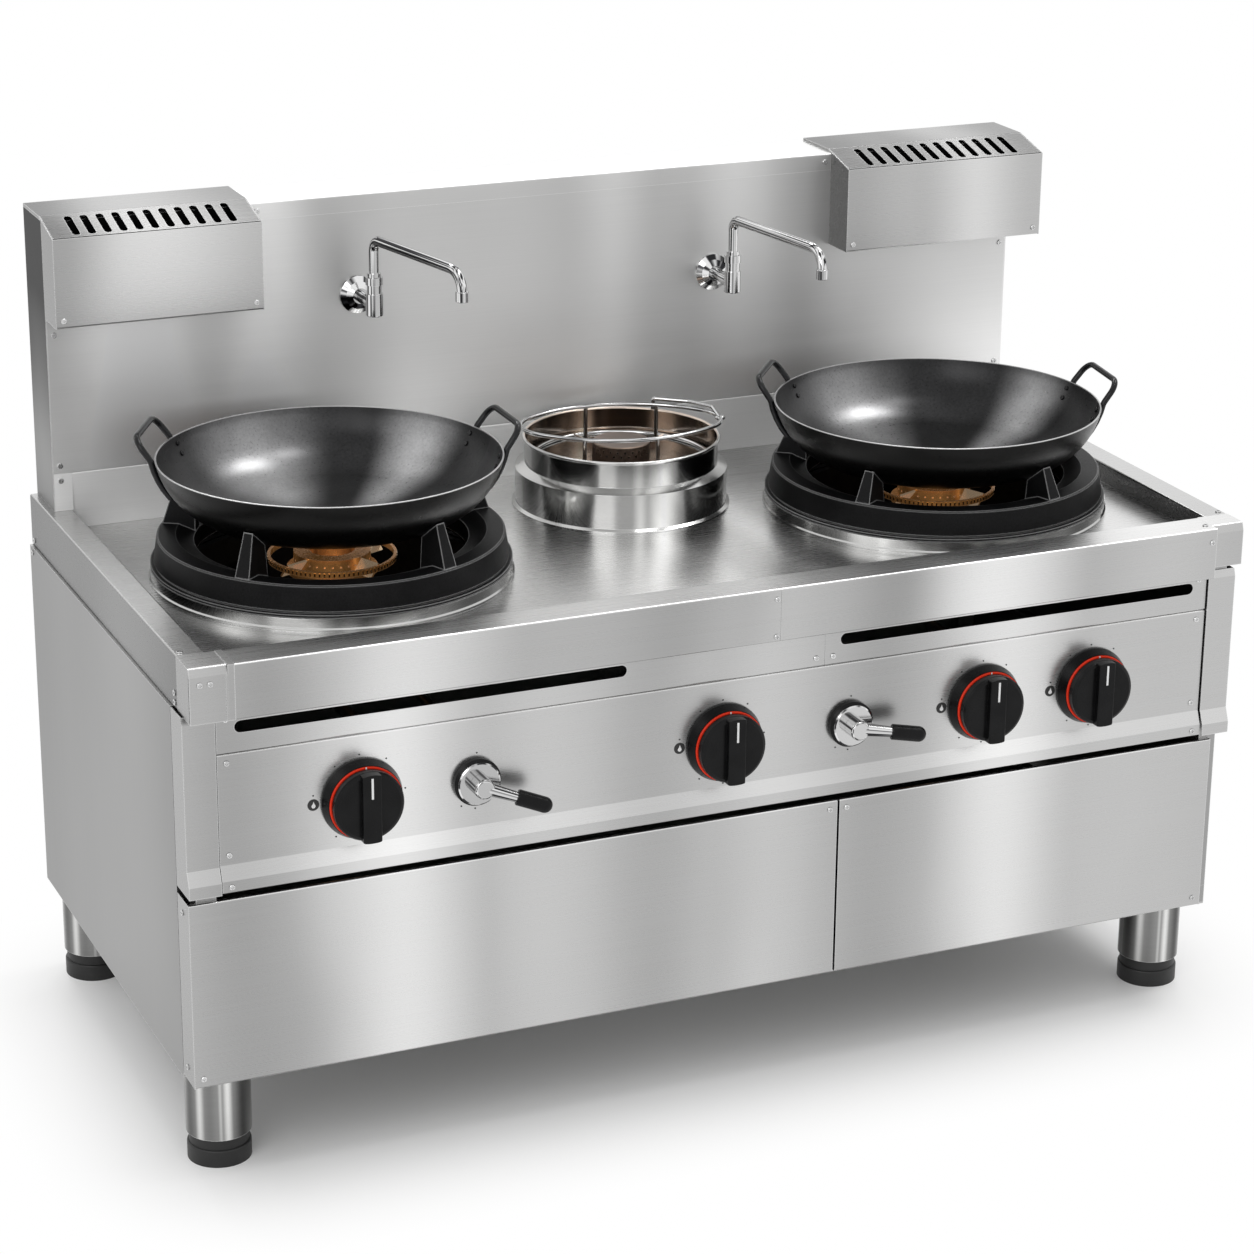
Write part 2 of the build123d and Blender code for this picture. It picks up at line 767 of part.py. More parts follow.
def flue_hood(x0, x1, side_cover):
    """Box on the splash with an open slanted face for its grille."""
    low, high = hood_slope()
    skin_line = [(splash_y - touch, hood_bottom), (hood_y, hood_bottom), low]
    skin = along_x(folded(skin_line[::-1], sheet), x0, x1)
    top = block(x0, x1, high[0], back, splash_top + touch, hood_top)
    ends = []
    cheek_line = [(splash_y - touch, hood_bottom), (hood_y, hood_bottom), low, high,
                  (back, hood_top), (back, splash_top + touch), (splash_y - touch, splash_top + touch)]
    cheek = make_face(Polyline(*cheek_line, close=True))
    for start in (x0, x1 - sheet):
        ends.append(along_x(cheek, start, start + sheet))
    hood = skin + top + ends[0] + ends[1]
    if side_cover:
        hood += block(splash_right + touch, x1, splash_y - touch, back, hood_bottom,
                      hood_bottom + sheet)
        hood += block(x1 - sheet, x1, splash_y - touch, back, hood_bottom, splash_top + touch)
        hood += block(splash_right + touch, x1, back - sheet, back, hood_bottom, splash_top + touch)
    return hood


def flue_hoods():
    return [flue_hood(*hood_left, False), flue_hood(*hood_right, True)]


def hood_grille(x0, x1):
    """Slanted plate with a row of slots."""
    low, high = hood_slope()
    run = (high[0] - low[0], high[1] - low[1])
    length = math.hypot(*run)
    step = (run[0] / length, run[1] / length)
    start = (low[0] + step[0] * bend, low[1] + step[1] * bend)
    end = (high[0] - step[0] * 3 * touch, high[1] - step[1] * 3 * touch)
    plate = along_x(make_face(Polyline(start, end, *shifted_line([start, end], -sheet)[::-1],
                                       close=True)), x0 + sheet + touch, x1 - sheet - touch)
    middle = ((low[0] + high[0]) / 2, (low[1] + high[1]) / 2)
    slot_length = length - 2 * grille_edge
    count = int((x1 - x0 - 2 * grille_pitch) / grille_pitch)
    plane = Plane(origin=(0, *middle), x_dir=(1, 0, 0), z_dir=(0, -step[1], step[0]))
    for i in range(count):
        offset = (i - (count - 1) / 2) * grille_pitch
        slot = extrude(Pos((x0 + x1) / 2 + offset, 0) * SlotOverall(slot_length, grille_slot, 90),
                       8, both=True)
        plate -= plane * slot
    return plate


def hood_grilles():
    return [hood_grille(*hood_left), hood_grille(*hood_right)]


def flue_duct(side):
    """Flue from the back of a fire chamber up into the splash."""
    x0, x1 = duct_limits(side)
    wall = sheet
    y0, y1 = duct_y
    upright = block(x0, x1, y0, y1, duct_low, duct_top)
    upright -= block(x0 + wall, x1 - wall, y0 + wall, y1 - wall, duct_low + wall, duct_top - wall)
    chamber_x, chamber_y = stations()[0 if side < 0 else 1]
    reach = chamber_y + math.sqrt(chamber_r ** 2 - (abs(duct_centre - station_x) + duct_width / 2) ** 2)
    throat = block(x0, x1, reach, y0, duct_low, duct_throat)
    throat_room = block(x0 + wall, x1 - wall, reach - 1, y0 + 2 * wall, duct_low + wall,
                        duct_throat - wall)
    duct = (upright + throat) - throat_room
    duct -= post(chamber_x, chamber_y, duct_low - 1, duct_throat + 1, chamber_r + touch)
    duct -= block(x0 + bar / 2, x1 - bar / 2, y0 - 1, y0 + 2 * wall, hood_bottom + bar, duct_top - bar)
    return duct


def flue_ducts():
    return [flue_duct(-1), flue_duct(1)]


# ================================================================ wok stations
seat_top = deck + seat_height
ring_bottom = seat_top + lift_gap
ring_top = ring_bottom + ring_height


def seat_ring():
    """Stainless channel ring, open underneath, that carries the cast ring."""
    wall = rim_sheet
    outline = [(seat_r - wall, deck + touch), (seat_r + seat_bead, deck + touch),
               (seat_r + seat_bead, deck + 4), (seat_r, deck + 6), (seat_r, seat_top),
               (seat_inner_r, seat_top), (seat_inner_r, deck + touch),
               (seat_inner_r + wall, deck + touch), (seat_inner_r + wall, seat_top - wall),
               (seat_r - wall, seat_top - wall)]
    return turned(outline)


def seat_rings():
    return [Pos(x, y, 0) * seat_ring() for x, y in stations()]


def wok_arcs():
    """Centres of the wok's two section arcs, measured from its lowest point."""
    turn = math.radians(wok_turn)
    side_r = (wok_floor_radius - wok_side_radius) * math.sin(turn)
    side_z = wok_floor_radius - (wok_floor_radius - wok_side_radius) * math.cos(turn)
    return (0, wok_floor_radius), (side_r, side_z)


def arc_point(centre, radius, slope):
    """Point on a section arc where the wok has a given slope in degrees."""
    angle = math.radians(slope)
    return centre[0] + radius * math.sin(angle), centre[1] - radius * math.cos(angle)


def wok_bottom(seat_rise):
    """Height of the lowest point of a wok that rests on lugs of a given height."""
    seat = arc_point(wok_arcs()[1], wok_side_radius, lug_angle)
    return ring_top + seat_rise - seat[1]


def lug(seat_rise):
    """One lug, drawn in (radius, height) and turned to face +X."""
    slope = math.radians(lug_angle)
    touch_r, touch_z = arc_point(wok_arcs()[1], wok_side_radius + lift_gap, lug_angle)
    touch_z += wok_bottom(seat_rise)

    def seat_z(radius):
        return touch_z + (radius - touch_r) * math.tan(slope)

    inner = ring_hole_r + 1
    outline = [(lug_outer_r, ring_top - ring_wall / 2), (lug_crown_r, seat_z(lug_crown_r)),
               (inner, seat_z(inner)), (inner, ring_top - ring_dish - ring_wall / 2),
               (ring_flat_r, ring_top - ring_wall / 2)]
    body = along_y(make_face(Polyline(*outline, close=True)), -lug_width, lug_width)
    crown = seat_z(lug_crown_r)
    low = ring_top - ring_dish - ring_wall
    spread = (lug_width - lug_top_width) / 2 * (ring_top - low) / (crown - ring_top)
    foot = lug_width / 2 + spread
    taper = [(-foot, low), (foot, low), (lug_top_width / 2, crown), (-lug_top_width / 2, crown)]
    return body & along_x(make_face(Polyline(*taper, close=True)), inner, lug_outer_r)


def cast_ring(x, y, seat_rise, turn):
    """Hollow cast ring with a dished inner edge and sloped lugs."""
    step = ring_bottom + ring_foot
    outer = [(ring_foot_r, ring_bottom), (ring_foot_r, step), (ring_step_r - ring_groove, step),
             (ring_step_r, step + ring_groove), (ring_top_r, ring_top - ring_edge),
             (ring_top_r - ring_edge, ring_top)]
    top = [(ring_flat_r, ring_top), (ring_hole_r, ring_top - ring_dish)]
    inner = [(ring_hole_r, ring_bottom + seat_height / 2)]
    under = [(ring_hole_r + ring_wall, ring_bottom + seat_height / 2),
             (ring_hole_r + ring_wall, ring_top - ring_dish - ring_wall),
             (ring_flat_r, ring_top - ring_wall), (ring_top_r - ring_wall, ring_top - ring_wall),
             (ring_step_r - ring_wall - ring_groove, step + ring_wall),
             (seat_inner_r + ring_wall, ring_bottom + ring_wall),
             (seat_inner_r + ring_wall, ring_bottom)]
    ring = turned(outer + top + inner + under)
    one = lug(seat_rise)
    for i in range(lug_count):
        ring += Rot(0, 0, turn + 360 / lug_count * i) * one
    return Pos(x, y, 0) * ring


def wok(x, y, seat_rise):
    """Round-sided bowl of even wall."""
    floor_centre, side_centre = wok_arcs()
    rows = []
    for inset in (0, wok_wall):
        floor_r = wok_floor_radius - inset
        side_r = wok_side_radius - inset
        start = arc_point(floor_centre, floor_r, 0)
        join = arc_point(floor_centre, floor_r, wok_turn)
        end = arc_point(side_centre, side_r, wok_rim_slope)
        floor_arc = ThreePointArc(start, arc_point(floor_centre, floor_r, wok_turn / 2), join)
        middle = arc_point(side_centre, side_r, (wok_turn + wok_rim_slope) / 2)
        rows.append((start, end, floor_arc, ThreePointArc(join, middle, end)))
    outer, inner = rows
    edges = [outer[2], outer[3], Line(outer[1], inner[1]), inner[3], inner[2],
             Line(inner[0], outer[0])]
    bowl = revolve(Plane.XZ * make_face(edges), Axis.Z)
    return Pos(x, y, wok_bottom(seat_rise)) * bowl


def wok_slope_at(drop):
    """Slope of the bowl at a given drop below its rim, in degrees."""
    rim_rise = wok_side_radius * math.cos(math.radians(wok_rim_slope))
    return math.degrees(math.acos((rim_rise + drop) / wok_side_radius))


def wok_side_radius_at(drop):
    """Outer radius of the bowl at a given drop below its rim."""
    return arc_point(wok_arcs()[1], wok_side_radius, wok_slope_at(drop))[0]


def handle_loop():
    """Rod loop outside the rim, drawn for a handle that points along +X."""
    rim_r, rim_z = arc_point(wok_arcs()[1], wok_side_radius, wok_rim_slope)
    space = handle_rod + handle_space
    one_side = []
    for drop in handle_drops:
        radius, height = arc_point(wok_arcs()[1], wok_side_radius + space, wok_slope_at(drop))
        one_side.append((math.sqrt(radius ** 2 - handle_half ** 2), handle_half, height))
    one_side.append((rim_r + space + handle_out, handle_top_half, rim_z + handle_up))
    other_side = [(u, -v, z) for u, v, z in one_side[::-1]]
    return rod(one_side + other_side, handle_rod, handle_bend)


def handle_rivets():
    """Domed rivet heads inside the bowl, behind each foot of a handle."""
    head = Cylinder(rivet_r, rivet_head, align=(Align.CENTER, Align.CENTER, Align.MAX))
    head = fillet(head.edges().group_by(Axis.Z)[0], rivet_head / 2)
    rivets = []
    for side in (-1, 1):
        for drop in rivet_drops:
            slope = wok_slope_at(drop)
            inside = wok_side_radius - wok_wall - touch
            radius, height = arc_point(wok_arcs()[1], inside, slope)
            turn = math.degrees(math.asin(handle_half / radius))
            seat = Rot(0, 0, side * turn) * Pos(radius, 0, height) * Rot(0, 180 - slope, 0)
            rivets.append(seat * head)
    return rivets


def wok_handles(x, y, seat_rise, angles):
    place = Pos(x, y, wok_bottom(seat_rise))
    return [place * Rot(0, 0, angle) * handle_loop() for angle in angles]


def wok_rivets(x, y, seat_rise, angles):
    place = Pos(x, y, wok_bottom(seat_rise))
    return [place * Rot(0, 0, angle) * rivet for angle in angles for rivet in handle_rivets()]


def fire_chamber(x, y):
    """Round steel chamber that hangs through the worktop by its flange."""
    wall = chamber_wall
    outline = [(chamber_hole_r, chamber_floor), (chamber_r, chamber_floor),
               (chamber_r, deck + touch), (chamber_flange_r, deck + touch),
               (chamber_flange_r, deck + touch + wall), (chamber_r - wall, deck + touch + wall),
               (chamber_r - wall, chamber_floor + wall), (chamber_hole_r, chamber_floor + wall)]
    return Pos(x, y, 0) * turned(outline)


def fire_chambers():
    """Both chambers, each with a port at the back for its flue."""
    chambers = []
    for side, (x, y) in zip((-1, 1), stations()):
        x0, x1 = duct_limits(side)
        port = block(x0 + bar / 2, x1 - bar / 2, y, y + chamber_r + 1,
                     chamber_floor + 2 * chamber_wall, duct_throat - 2 * sheet)
        chambers.append(fire_chamber(x, y) - port)
    return chambers


def burner():
    """Brass burner: stem, base, drum with ports, and tilted vanes out to a ring."""
    low = chamber_floor - bar
    floor = burner_base_z + burner_rim
    outline = [(0, low), (burner_stem_r, low), (burner_stem_r, burner_base_z - burner_cone),
               (burner_base_r, burner_base_z - 2 * burner_rim), (burner_base_r, burner_base_z),
               (burner_drum_r, burner_base_z), (burner_drum_r, burner_top),
               (burner_bore_r, burner_top), (burner_bore_r, floor), (0, floor)]
    body = turned(outline)
    rim_low = burner_ring_z - burner_rim
    rim_high = rim_low + burner_rim_height
    rim_inner = burner_ring_r - burner_rim
    rim = turned([(rim_inner, rim_low), (burner_ring_r, rim_low), (burner_ring_r, rim_high),
                  (rim_inner, rim_high)])
    inner = burner_drum_r - burner_rim / 2
    outer = burner_ring_r - burner_rim / 2
    vane = Rot(vane_tilt, 0, 0) * Box(outer - inner, vane_width, vane_thick)
    vane = Pos((inner + outer) / 2, 0, burner_top - vane_drop) * vane
    for i in range(vane_count):
        body += Rot(0, 0, vane_turn + 360 / vane_count * i) * vane
    port = Rot(0, 90, 0) * Cylinder(port_r, 2 * port_depth)
    port = Pos(burner_drum_r, 0, burner_top - port_drop) * port
    for i in range(port_count):
        body -= Rot(0, 0, 360 / port_count * i) * port
    return body + rim


def burners():
    return [Pos(x, y, 0) * burner() for x, y in stations()]


# ================================================================ centre burner
shoulder_z = deck + collar_height
upper_z = shoulder_z + shoulder_rise
upper_top = upper_z + upper_height


def centre_base_collar():
    """Lower collar with a bead at its foot, a sloped shoulder and a seat inside it."""
    wall = collar_wall
    seat = upper_r - collar_seat
    outline = [(collar_r - wall, deck + touch), (collar_bead_r, deck + touch),
               (collar_bead_r, deck + collar_bead / 2), (collar_r, deck + collar_bead),
               (collar_r, shoulder_z), (upper_r, upper_z), (seat, upper_z),
               (seat, upper_z - wall), (upper_r - wall, upper_z - wall),
               (collar_r - wall, shoulder_z - wall)]
    return [Pos(centre_x, centre_y, 0) * turned(outline)]


def centre_upper_collar():
    """Upper collar with a rolled rim; it stands on the seat of the lower one."""
    wall = collar_wall
    low = upper_z + touch
    roll_z = upper_top - rim_roll
    outline = [(upper_r - wall, low), (upper_r, low), (upper_r, roll_z), (upper_r - wall, roll_z)]
    roll = Pos(0, 0, roll_z) * Torus(upper_r + rim_roll - wall, rim_roll)
    return [Pos(centre_x, centre_y, 0) * (turned(outline) + roll)]


def centre_burner():
    """Capped drum with two rows of ports, on a flange over the worktop."""
    outline = [(0, deck - bar), (drum_r - touch, deck - bar), (drum_r - touch, deck + touch),
               (drum_flange_r, deck + touch), (drum_flange_r, deck + touch + drum_wall),
               (drum_r, deck + 2 * drum_wall), (drum_r, drum_top - drum_wall / 2),
               (drum_r - drum_wall / 2, drum_top), (0, drum_top)]
    drum = turned(outline)
    drum -= post(0, 0, drum_top - drum_room, drum_top - drum_wall, drum_r - drum_wall)
    port = Rot(0, 90, 0) * Cylinder(drum_port_r, 4 * drum_wall)
    for row, drop in enumerate(drum_port_drops):
        for i in range(drum_ports):
            turn = 360 / drum_ports * (i + row / 2)
            drum -= Rot(0, 0, turn) * Pos(drum_r, 0, drum_top - drop) * port
    return [Pos(centre_x, centre_y, 0) * drum]


def oval(long, short):
    """Closed path of four tangent arcs with the given half lengths."""
    small = short * short / long
    shift = long - small
    big = (shift ** 2 + short ** 2 - small ** 2) / (2 * (short - small))
    rise = big - short
    scale = small / math.hypot(shift, rise)
    join = (shift + shift * scale, rise * scale)
    quarter = [(join[0], join[1]), (-join[0], join[1]), (-join[0], -join[1]), (join[0], -join[1])]
    return [ThreePointArc(quarter[0], (0, short), quarter[1]),
            ThreePointArc(quarter[1], (-long, 0), quarter[2]),
            ThreePointArc(quarter[2], (0, -short), quarter[3]),
            ThreePointArc(quarter[3], (long, 0), quarter[0])]


def oval_point(turn):
    """Point of the upper loop in its own axes; turn is 0 at the loop's right end."""
    angle = math.radians(turn)
    return wire_long * math.cos(angle), wire_short * math.sin(angle)


def wire_grip_rod(high):
    """Grip over the back right of the loop, with one end turned down and an eye at the other."""
    stations_along = (64, 40, 16)
    first = oval_point(stations_along[0])
    points = [(*first, high - wire_grip_drop), (*first, high + wire_grip)]
    points += [(*oval_point(turn), high + wire_grip) for turn in stations_along[1:]]
    points.append((wire_long, 0, high))
    eye = Pos(wire_long, 0, high) * Torus(wire_eye, wire_r)
    return rod(points, wire_r, 1.2 * wire_r) + eye


def wire_support():
    """Wire stand: an oval loop over the rim, a ring on the collar's seat and legs between."""
    high = upper_top + wire_rise
    low = upper_z + lift_gap + wire_r
    path = Wire(oval(wire_long, wire_short))
    loop = sweep(Plane(origin=path @ 0, z_dir=path % 0) * Circle(wire_r), path)
    stand = Rot(0, 0, wire_turn) * (Pos(0, 0, high) * loop + wire_grip_rod(high))
    stand += Pos(0, 0, low) * Torus(wire_ring_r, wire_r)
    for turn in wire_leg_angles:
        x, y = oval_point(turn)
        out = wire_ring_r / math.hypot(x, y)
        leg = rod([(x, y, high), (x, y, low), (x * out, y * out, low)], wire_r, 1.5 * wire_r)
        stand += Rot(0, 0, wire_turn) * leg
    return [Pos(centre_x, centre_y, 0) * stand]


# ================================================================ knobs and levers
def knob_bezel():
    """Tapered skirt with a recess for the knob."""
    recess = knob_r + 2 * lift_gap
    return turned([(stem_r + 2 * lift_gap, touch), (bezel_r, touch), (bezel_r, 4),
                   (bezel_front_r, bezel_depth), (recess, bezel_depth), (recess, bezel_floor),
                   (stem_r + 2 * lift_gap, bezel_floor)])


def lever_base_ring():
    ring = turned([(stem_r + 2 * lift_gap, touch), (lever_base_r, touch),
                   (lever_base_r, lever_base - 4), (lever_base_r - 4, lever_base),
                   (stem_r + 2 * lift_gap, lever_base)])
    return ring


def control_bezels():
    """Four knob skirts and two lever bases, all black mouldings on the panel."""
    knobs = [facing(x, knob_z) * knob_bezel() for x in knob_x]
    levers = [facing(x, lever_z) * lever_base_ring() for x in lever_x]
    return knobs + levers


def knob_rings():
    """Red rings on the front edges of the knob skirts."""
    outer = bezel_front_r - 1
    ring = turned([(outer - mark_ring_width, bezel_depth + touch), (outer, bezel_depth + touch),
                   (outer, bezel_depth + mark_ring - 1), (outer - 1, bezel_depth + mark_ring),
                   (outer - mark_ring_width, bezel_depth + mark_ring)])
    return [facing(x, knob_z) * ring for x in knob_x]


def knob(x):
    """Cap with a grip bar, on a stem that turns in its valve."""
    cap = turned([(0, bezel_floor + lift_gap), (knob_r - 1, bezel_floor + lift_gap),
                  (knob_r - 1, bezel_depth + mark_ring + 1),
                  (knob_cap_r, bezel_depth + mark_ring + 1), (knob_cap_r, knob_front - 5),
                  (knob_cap_r - 2, knob_front - 2), (knob_cap_r - 6, knob_front), (0, knob_front)])
    grip = Box(knob_bar, 2 * knob_cap_r, knob_bar_front - knob_front + knob_round)
    grip = fillet(grip.edges().filter_by(Axis.Z), knob_round)
    grip = fillet(grip.edges().group_by(Axis.Z)[-1], 2)
    grip = Pos(0, 0, (knob_bar_front + knob_front - knob_round) / 2) * grip
    grip &= post(0, 0, bezel_depth, knob_bar_front, knob_cap_r - 0.5)
    stem_end = -sheet - valve_length + stem_floor + 2
    stem = post(0, 0, stem_end, bezel_floor + 2, stem_r)
    return [facing(x, knob_z) * (cap + grip + stem)]


def gas_valves():
    """Valve bodies behind the knobs, each bored for its stem."""
    back_z = -sheet - valve_length
    body = post(0, 0, back_z, -sheet - touch, valve_r)
    body -= post(0, 0, back_z + stem_floor, 0, stem_r + running)
    saddle = post(0, 0, back_z - manifold_r / 3, back_z, valve_r - 6)
    pipe = Pos(0, 0, back_z - manifold_r) * Rot(0, 90, 0) * Cylinder(manifold_r + touch, 4 * valve_r)
    valve = body + (saddle - pipe) - pipe
    return [facing(x, knob_z) * valve for x in knob_x]


def lever_direction(slope):
    """Unit direction of a lever arm in the panel's own axes."""
    tilt = math.radians(lever_tilt)
    turn = math.radians(slope)
    return Vector(math.cos(tilt) * math.cos(turn), math.cos(tilt) * math.sin(turn), math.sin(tilt))


def lever_flange_piece():
    return turned([(stem_r + 2 * lift_gap, lever_base + touch), (lever_flange_r, lever_base + touch),
                   (lever_flange_r, lever_base + lever_flange - 1.5),
                   (lever_flange_r - 2, lever_base + lever_flange),
                   (stem_r + 2 * lift_gap, lever_base + lever_flange)])


def water_valve():
    """Valve body behind the panel, bored for the stem, with a stub above and below."""
    back_z = -sheet - touch - water_valve_length
    body = post(0, 0, back_z, -sheet - touch, valve_r - 2)
    body += Pos(0, 0, back_z / 2) * Rot(90, 0, 0) * Cylinder(water_pipe_r, 2 * water_stub)
    return body - post(0, 0, back_z + stem_floor, 0, stem_r + running)


def lever_flanges():
    """Chrome flanges over the black bases, with the water valves behind the panel."""
    pieces = (lever_flange_piece(), water_valve())
    return [facing(x, lever_z) * piece for x in lever_x for piece in pieces]


def lever(x, slope):
    """Hub on a stem, with a tapered arm that leans out."""
    start = lever_base + lever_flange + lift_gap
    hub = post(0, 0, start, start + lever_hub, lever_hub_r)
    hub = fillet(hub.edges().group_by(Axis.Z)[-1], 4)
    stem_end = -sheet - touch - water_valve_length + stem_floor + 2
    stem = post(0, 0, stem_end, start + 2, stem_r)
    direction = lever_direction(slope)
    plane = Plane(origin=(0, 0, lever_pivot), z_dir=direction)
    arm = Cone(lever_arm_r, lever_tip_r, lever_arm, align=(Align.CENTER, Align.CENTER, Align.MIN))
    return [facing(x, lever_z) * (hub + stem + plane * arm)]


def lever_grip_piece(x, slope):
    """Rounded black grip on the end of an arm."""
    direction = lever_direction(slope)
    plane = Plane(origin=(0, 0, lever_pivot), z_dir=direction)
    length = lever_grip - lever_grip_r
    grip = post(0, 0, lever_arm + touch / 2, lever_arm + length, lever_grip_r)
    grip = fillet(grip.edges().group_by(Axis.Z)[0], 2)
    grip += Pos(0, 0, lever_arm + length) * Sphere(lever_grip_r)
    return [facing(x, lever_z) * (plane * grip)]


# ================================================================ taps
def tap_body_solid(x, z):
    """Wall flange, neck and upright body that is bored for the spout."""
    y = splash_y - tap_out
    flange = turned([(0, touch), (tap_flange_r, touch), (tap_flange_r, 3),
                     (tap_flange_r - 8, tap_flange - 5), (tap_neck_r + 3, tap_flange),
                     (0, tap_flange)])
    wall_plane = Plane(origin=(x, splash_y, z), x_dir=(1, 0, 0), z_dir=(0, -1, 0))
    neck = post(0, 0, tap_flange - 1, tap_out, tap_neck_r)
    low, high = z + tap_body[0], z + tap_body[1]
    body = post(x, y, low, high, tap_body_r)
    body = chamfer(body.edges().group_by(Axis.Z)[0], 1.5)
    groove = tube(x, y, z + waist[0], z + waist[1], tap_body_r + 1, 3)
    bore = post(x, y, high - riser_socket, high + 1, riser_r + running)
    return wall_plane * (flange + neck) + body - groove - bore


def tap_bodies():
    return [tap_body_solid(x, z) for x, z in zip(tap_x, tap_z)]


def spout(x, z, angle):
    """Riser, level arm and turned-down end with a tip collar."""
    y = splash_y - tap_out
    socket = z + tap_body[1] - riser_socket + 1
    top = z + riser_top
    low = z + spout_low
    turn = math.radians(angle)
    end = (x + spout_reach * math.cos(turn), y + spout_reach * math.sin(turn))
    path = FilletPolyline((x, y, socket), (x, y, top), (*end, top), (*end, low + touch),
                          radius=[spout_bend, spout_end_bend])
    pipe = sweep(Plane(origin=path @ 0, z_dir=path % 0) * Circle(riser_r), path)
    tip = post(*end, low, low + spout_tip, spout_tip_r)
    tip = fillet(tip.edges(), 1)
    collar_low = z + tap_body[1] + lift_gap
    collar = post(x, y, collar_low, collar_low + 6, riser_r + 3)
    return [pipe + tip + collar]


def water_back_y():
    """Y of the water pipes where they rise inside the splash."""
    return splash_y + splash_depth / 2


def inlet(x, z, radius, bore):
    """Threaded end of a pipe that stands out of the back."""
    end = Pos(x, back_reach, z) * Rot(90, 0, 0)
    align = (Align.CENTER, Align.CENTER, Align.MIN)
    thread = end * Cylinder(radius, inlet_thread, align=align)
    return thread, end * Cylinder(bore, inlet_depth, align=align)


def gas_manifold():
    """Gas main behind the valves, with a pipe to the inlet at the back."""
    main = Pos(0, manifold_y, knob_z) * Rot(0, 90, 0) * Cylinder(manifold_r, 2 * manifold_half)
    thread, bore = inlet(gas_inlet_x, knob_z, gas_inlet_r, gas_inlet_bore)
    feed = rod([(gas_inlet_x, manifold_y, knob_z), (gas_inlet_x, back_reach - inlet_depth, knob_z)],
               gas_inlet_r - inlet_step, 1)
    return [main + feed + thread - bore]


def burner_pipes():
    """Feed from the manifold to each burner."""
    start = manifold_y + manifold_r + touch
    ends = [(x, y, chamber_floor - bar - touch) for x, y in stations()]
    ends.append((centre_x, centre_y, deck - bar - touch))
    return [rod([(x, start, knob_z), (x, y, knob_z), (x, y, z)], pipe_r, pipe_bend)
            for x, y, z in ends]


def water_pipes():
    """Supply along the front, and a pipe from each lever valve to its tap."""
    valve_y = panel_y + (sheet + touch + water_valve_length) / 2
    top = lever_z + water_stub + touch
    y = water_back_y()
    pipes = []
    for lever_at, tap_at, tap_height in zip(lever_x, tap_x, tap_z):
        pipes.append(rod([(lever_at, valve_y, top), (lever_at, valve_y, water_high),
                          (lever_at, y, water_high), (tap_at, y, water_high),
                          (tap_at, y, tap_height), (tap_at, splash_y + touch, tap_height)],
                         water_pipe_r, 16))
    bottom = lever_z - water_stub - touch
    thread, bore = inlet(water_inlet_x, water_low, water_inlet_r, water_inlet_bore)
    supply = rod([(lever_x[0] - 2 * water_pipe_r, valve_y, water_low),
                  (water_inlet_x, valve_y, water_low),
                  (water_inlet_x, back_reach - inlet_depth, water_low)],
                 water_inlet_r - inlet_step, pipe_bend)
    for x in lever_x:
        supply += post(x, valve_y, water_low, bottom, water_pipe_r)
    return pipes + [supply + thread - bore]


# ================================================================ fasteners
def screw_front(x, y, z):
    """Cross-recess head on a face towards the cook."""
    head = Cylinder(screw_r, screw_head, align=(Align.CENTER, Align.CENTER, Align.MIN))
    head = chamfer(head.edges().group_by(Axis.Z)[-1], screw_head / 3)
    long, narrow = screw_slot
    for width_x, width_y in ((long, narrow), (narrow, long)):
        head -= Pos(0, 0, screw_head) * Box(width_x, width_y, screw_head)
    plane = Plane(origin=(x, y, z), x_dir=(1, 0, 0), z_dir=(0, -1, 0))
    return plane * head


def screw_top(x, y, z):
    return Pos(x, y, z) * Rot(-90, 0, 0) * screw_front(0, 0, 0)


def screw_side(side, x, y, z):
    """Head on the left (-1) or right (1) side."""
    return Pos(side * x, y, z) * Rot(0, 0, side * 90) * screw_front(0, 0, 0)


def panel_screws():
    """Heads at the ends of the aprons, the control panel and the lower panels."""
    heads = []
    ends = inner_half - panel_gap - screw_inset
    for x in (-ends, ends):
        heads.append(screw_front(x, panel_y - touch, rail_bottom - apron_screw_drop))
        heads.append(screw_front(x, panel_y - touch, panel_top - screw_inset))
        heads.append(screw_front(x, panel_y - touch, ledge_top + screw_inset))
        heads.append(screw_front(x, ledge_y - touch, (lip_top + lip_bottom) / 2))
    for x in (lower_split - screw_inset, lower_split + screw_inset):
        heads.append(screw_front(x, lower_y - touch, lower_top - screw_inset))
    for x in (screw_inset - cabinet_half, cabinet_half - lower_right_inset - screw_inset):
        heads.append(screw_front(x, lower_y - touch, lower_bottom + screw_inset))
    for x in (apron_split - screw_inset, apron_split + screw_inset):
        heads.append(screw_front(x, panel_y - touch, panel_top + screw_inset))
    return heads


def rail_screws():
    """Heads at the front rail's joint and ends."""
    heads = []
    for z in (rim_height - joint_screw_drop, rail_bottom + joint_screw_rise):
        heads.append(screw_front(rail_split - joint_screw_inset, front - touch, z))
    for inset in cap_screw_insets:
        heads.append(screw_front(inset - half, front - touch, rim_height - cap_screw_drop))
    cap = half - cap_width
    across, down = right_screw_insets
    heads.append(screw_front(cap - across, front - touch, rim_height - down))
    across, behind = top_screw_insets
    heads.append(screw_top(cap - across, front + behind, rim_height + touch))
    return heads


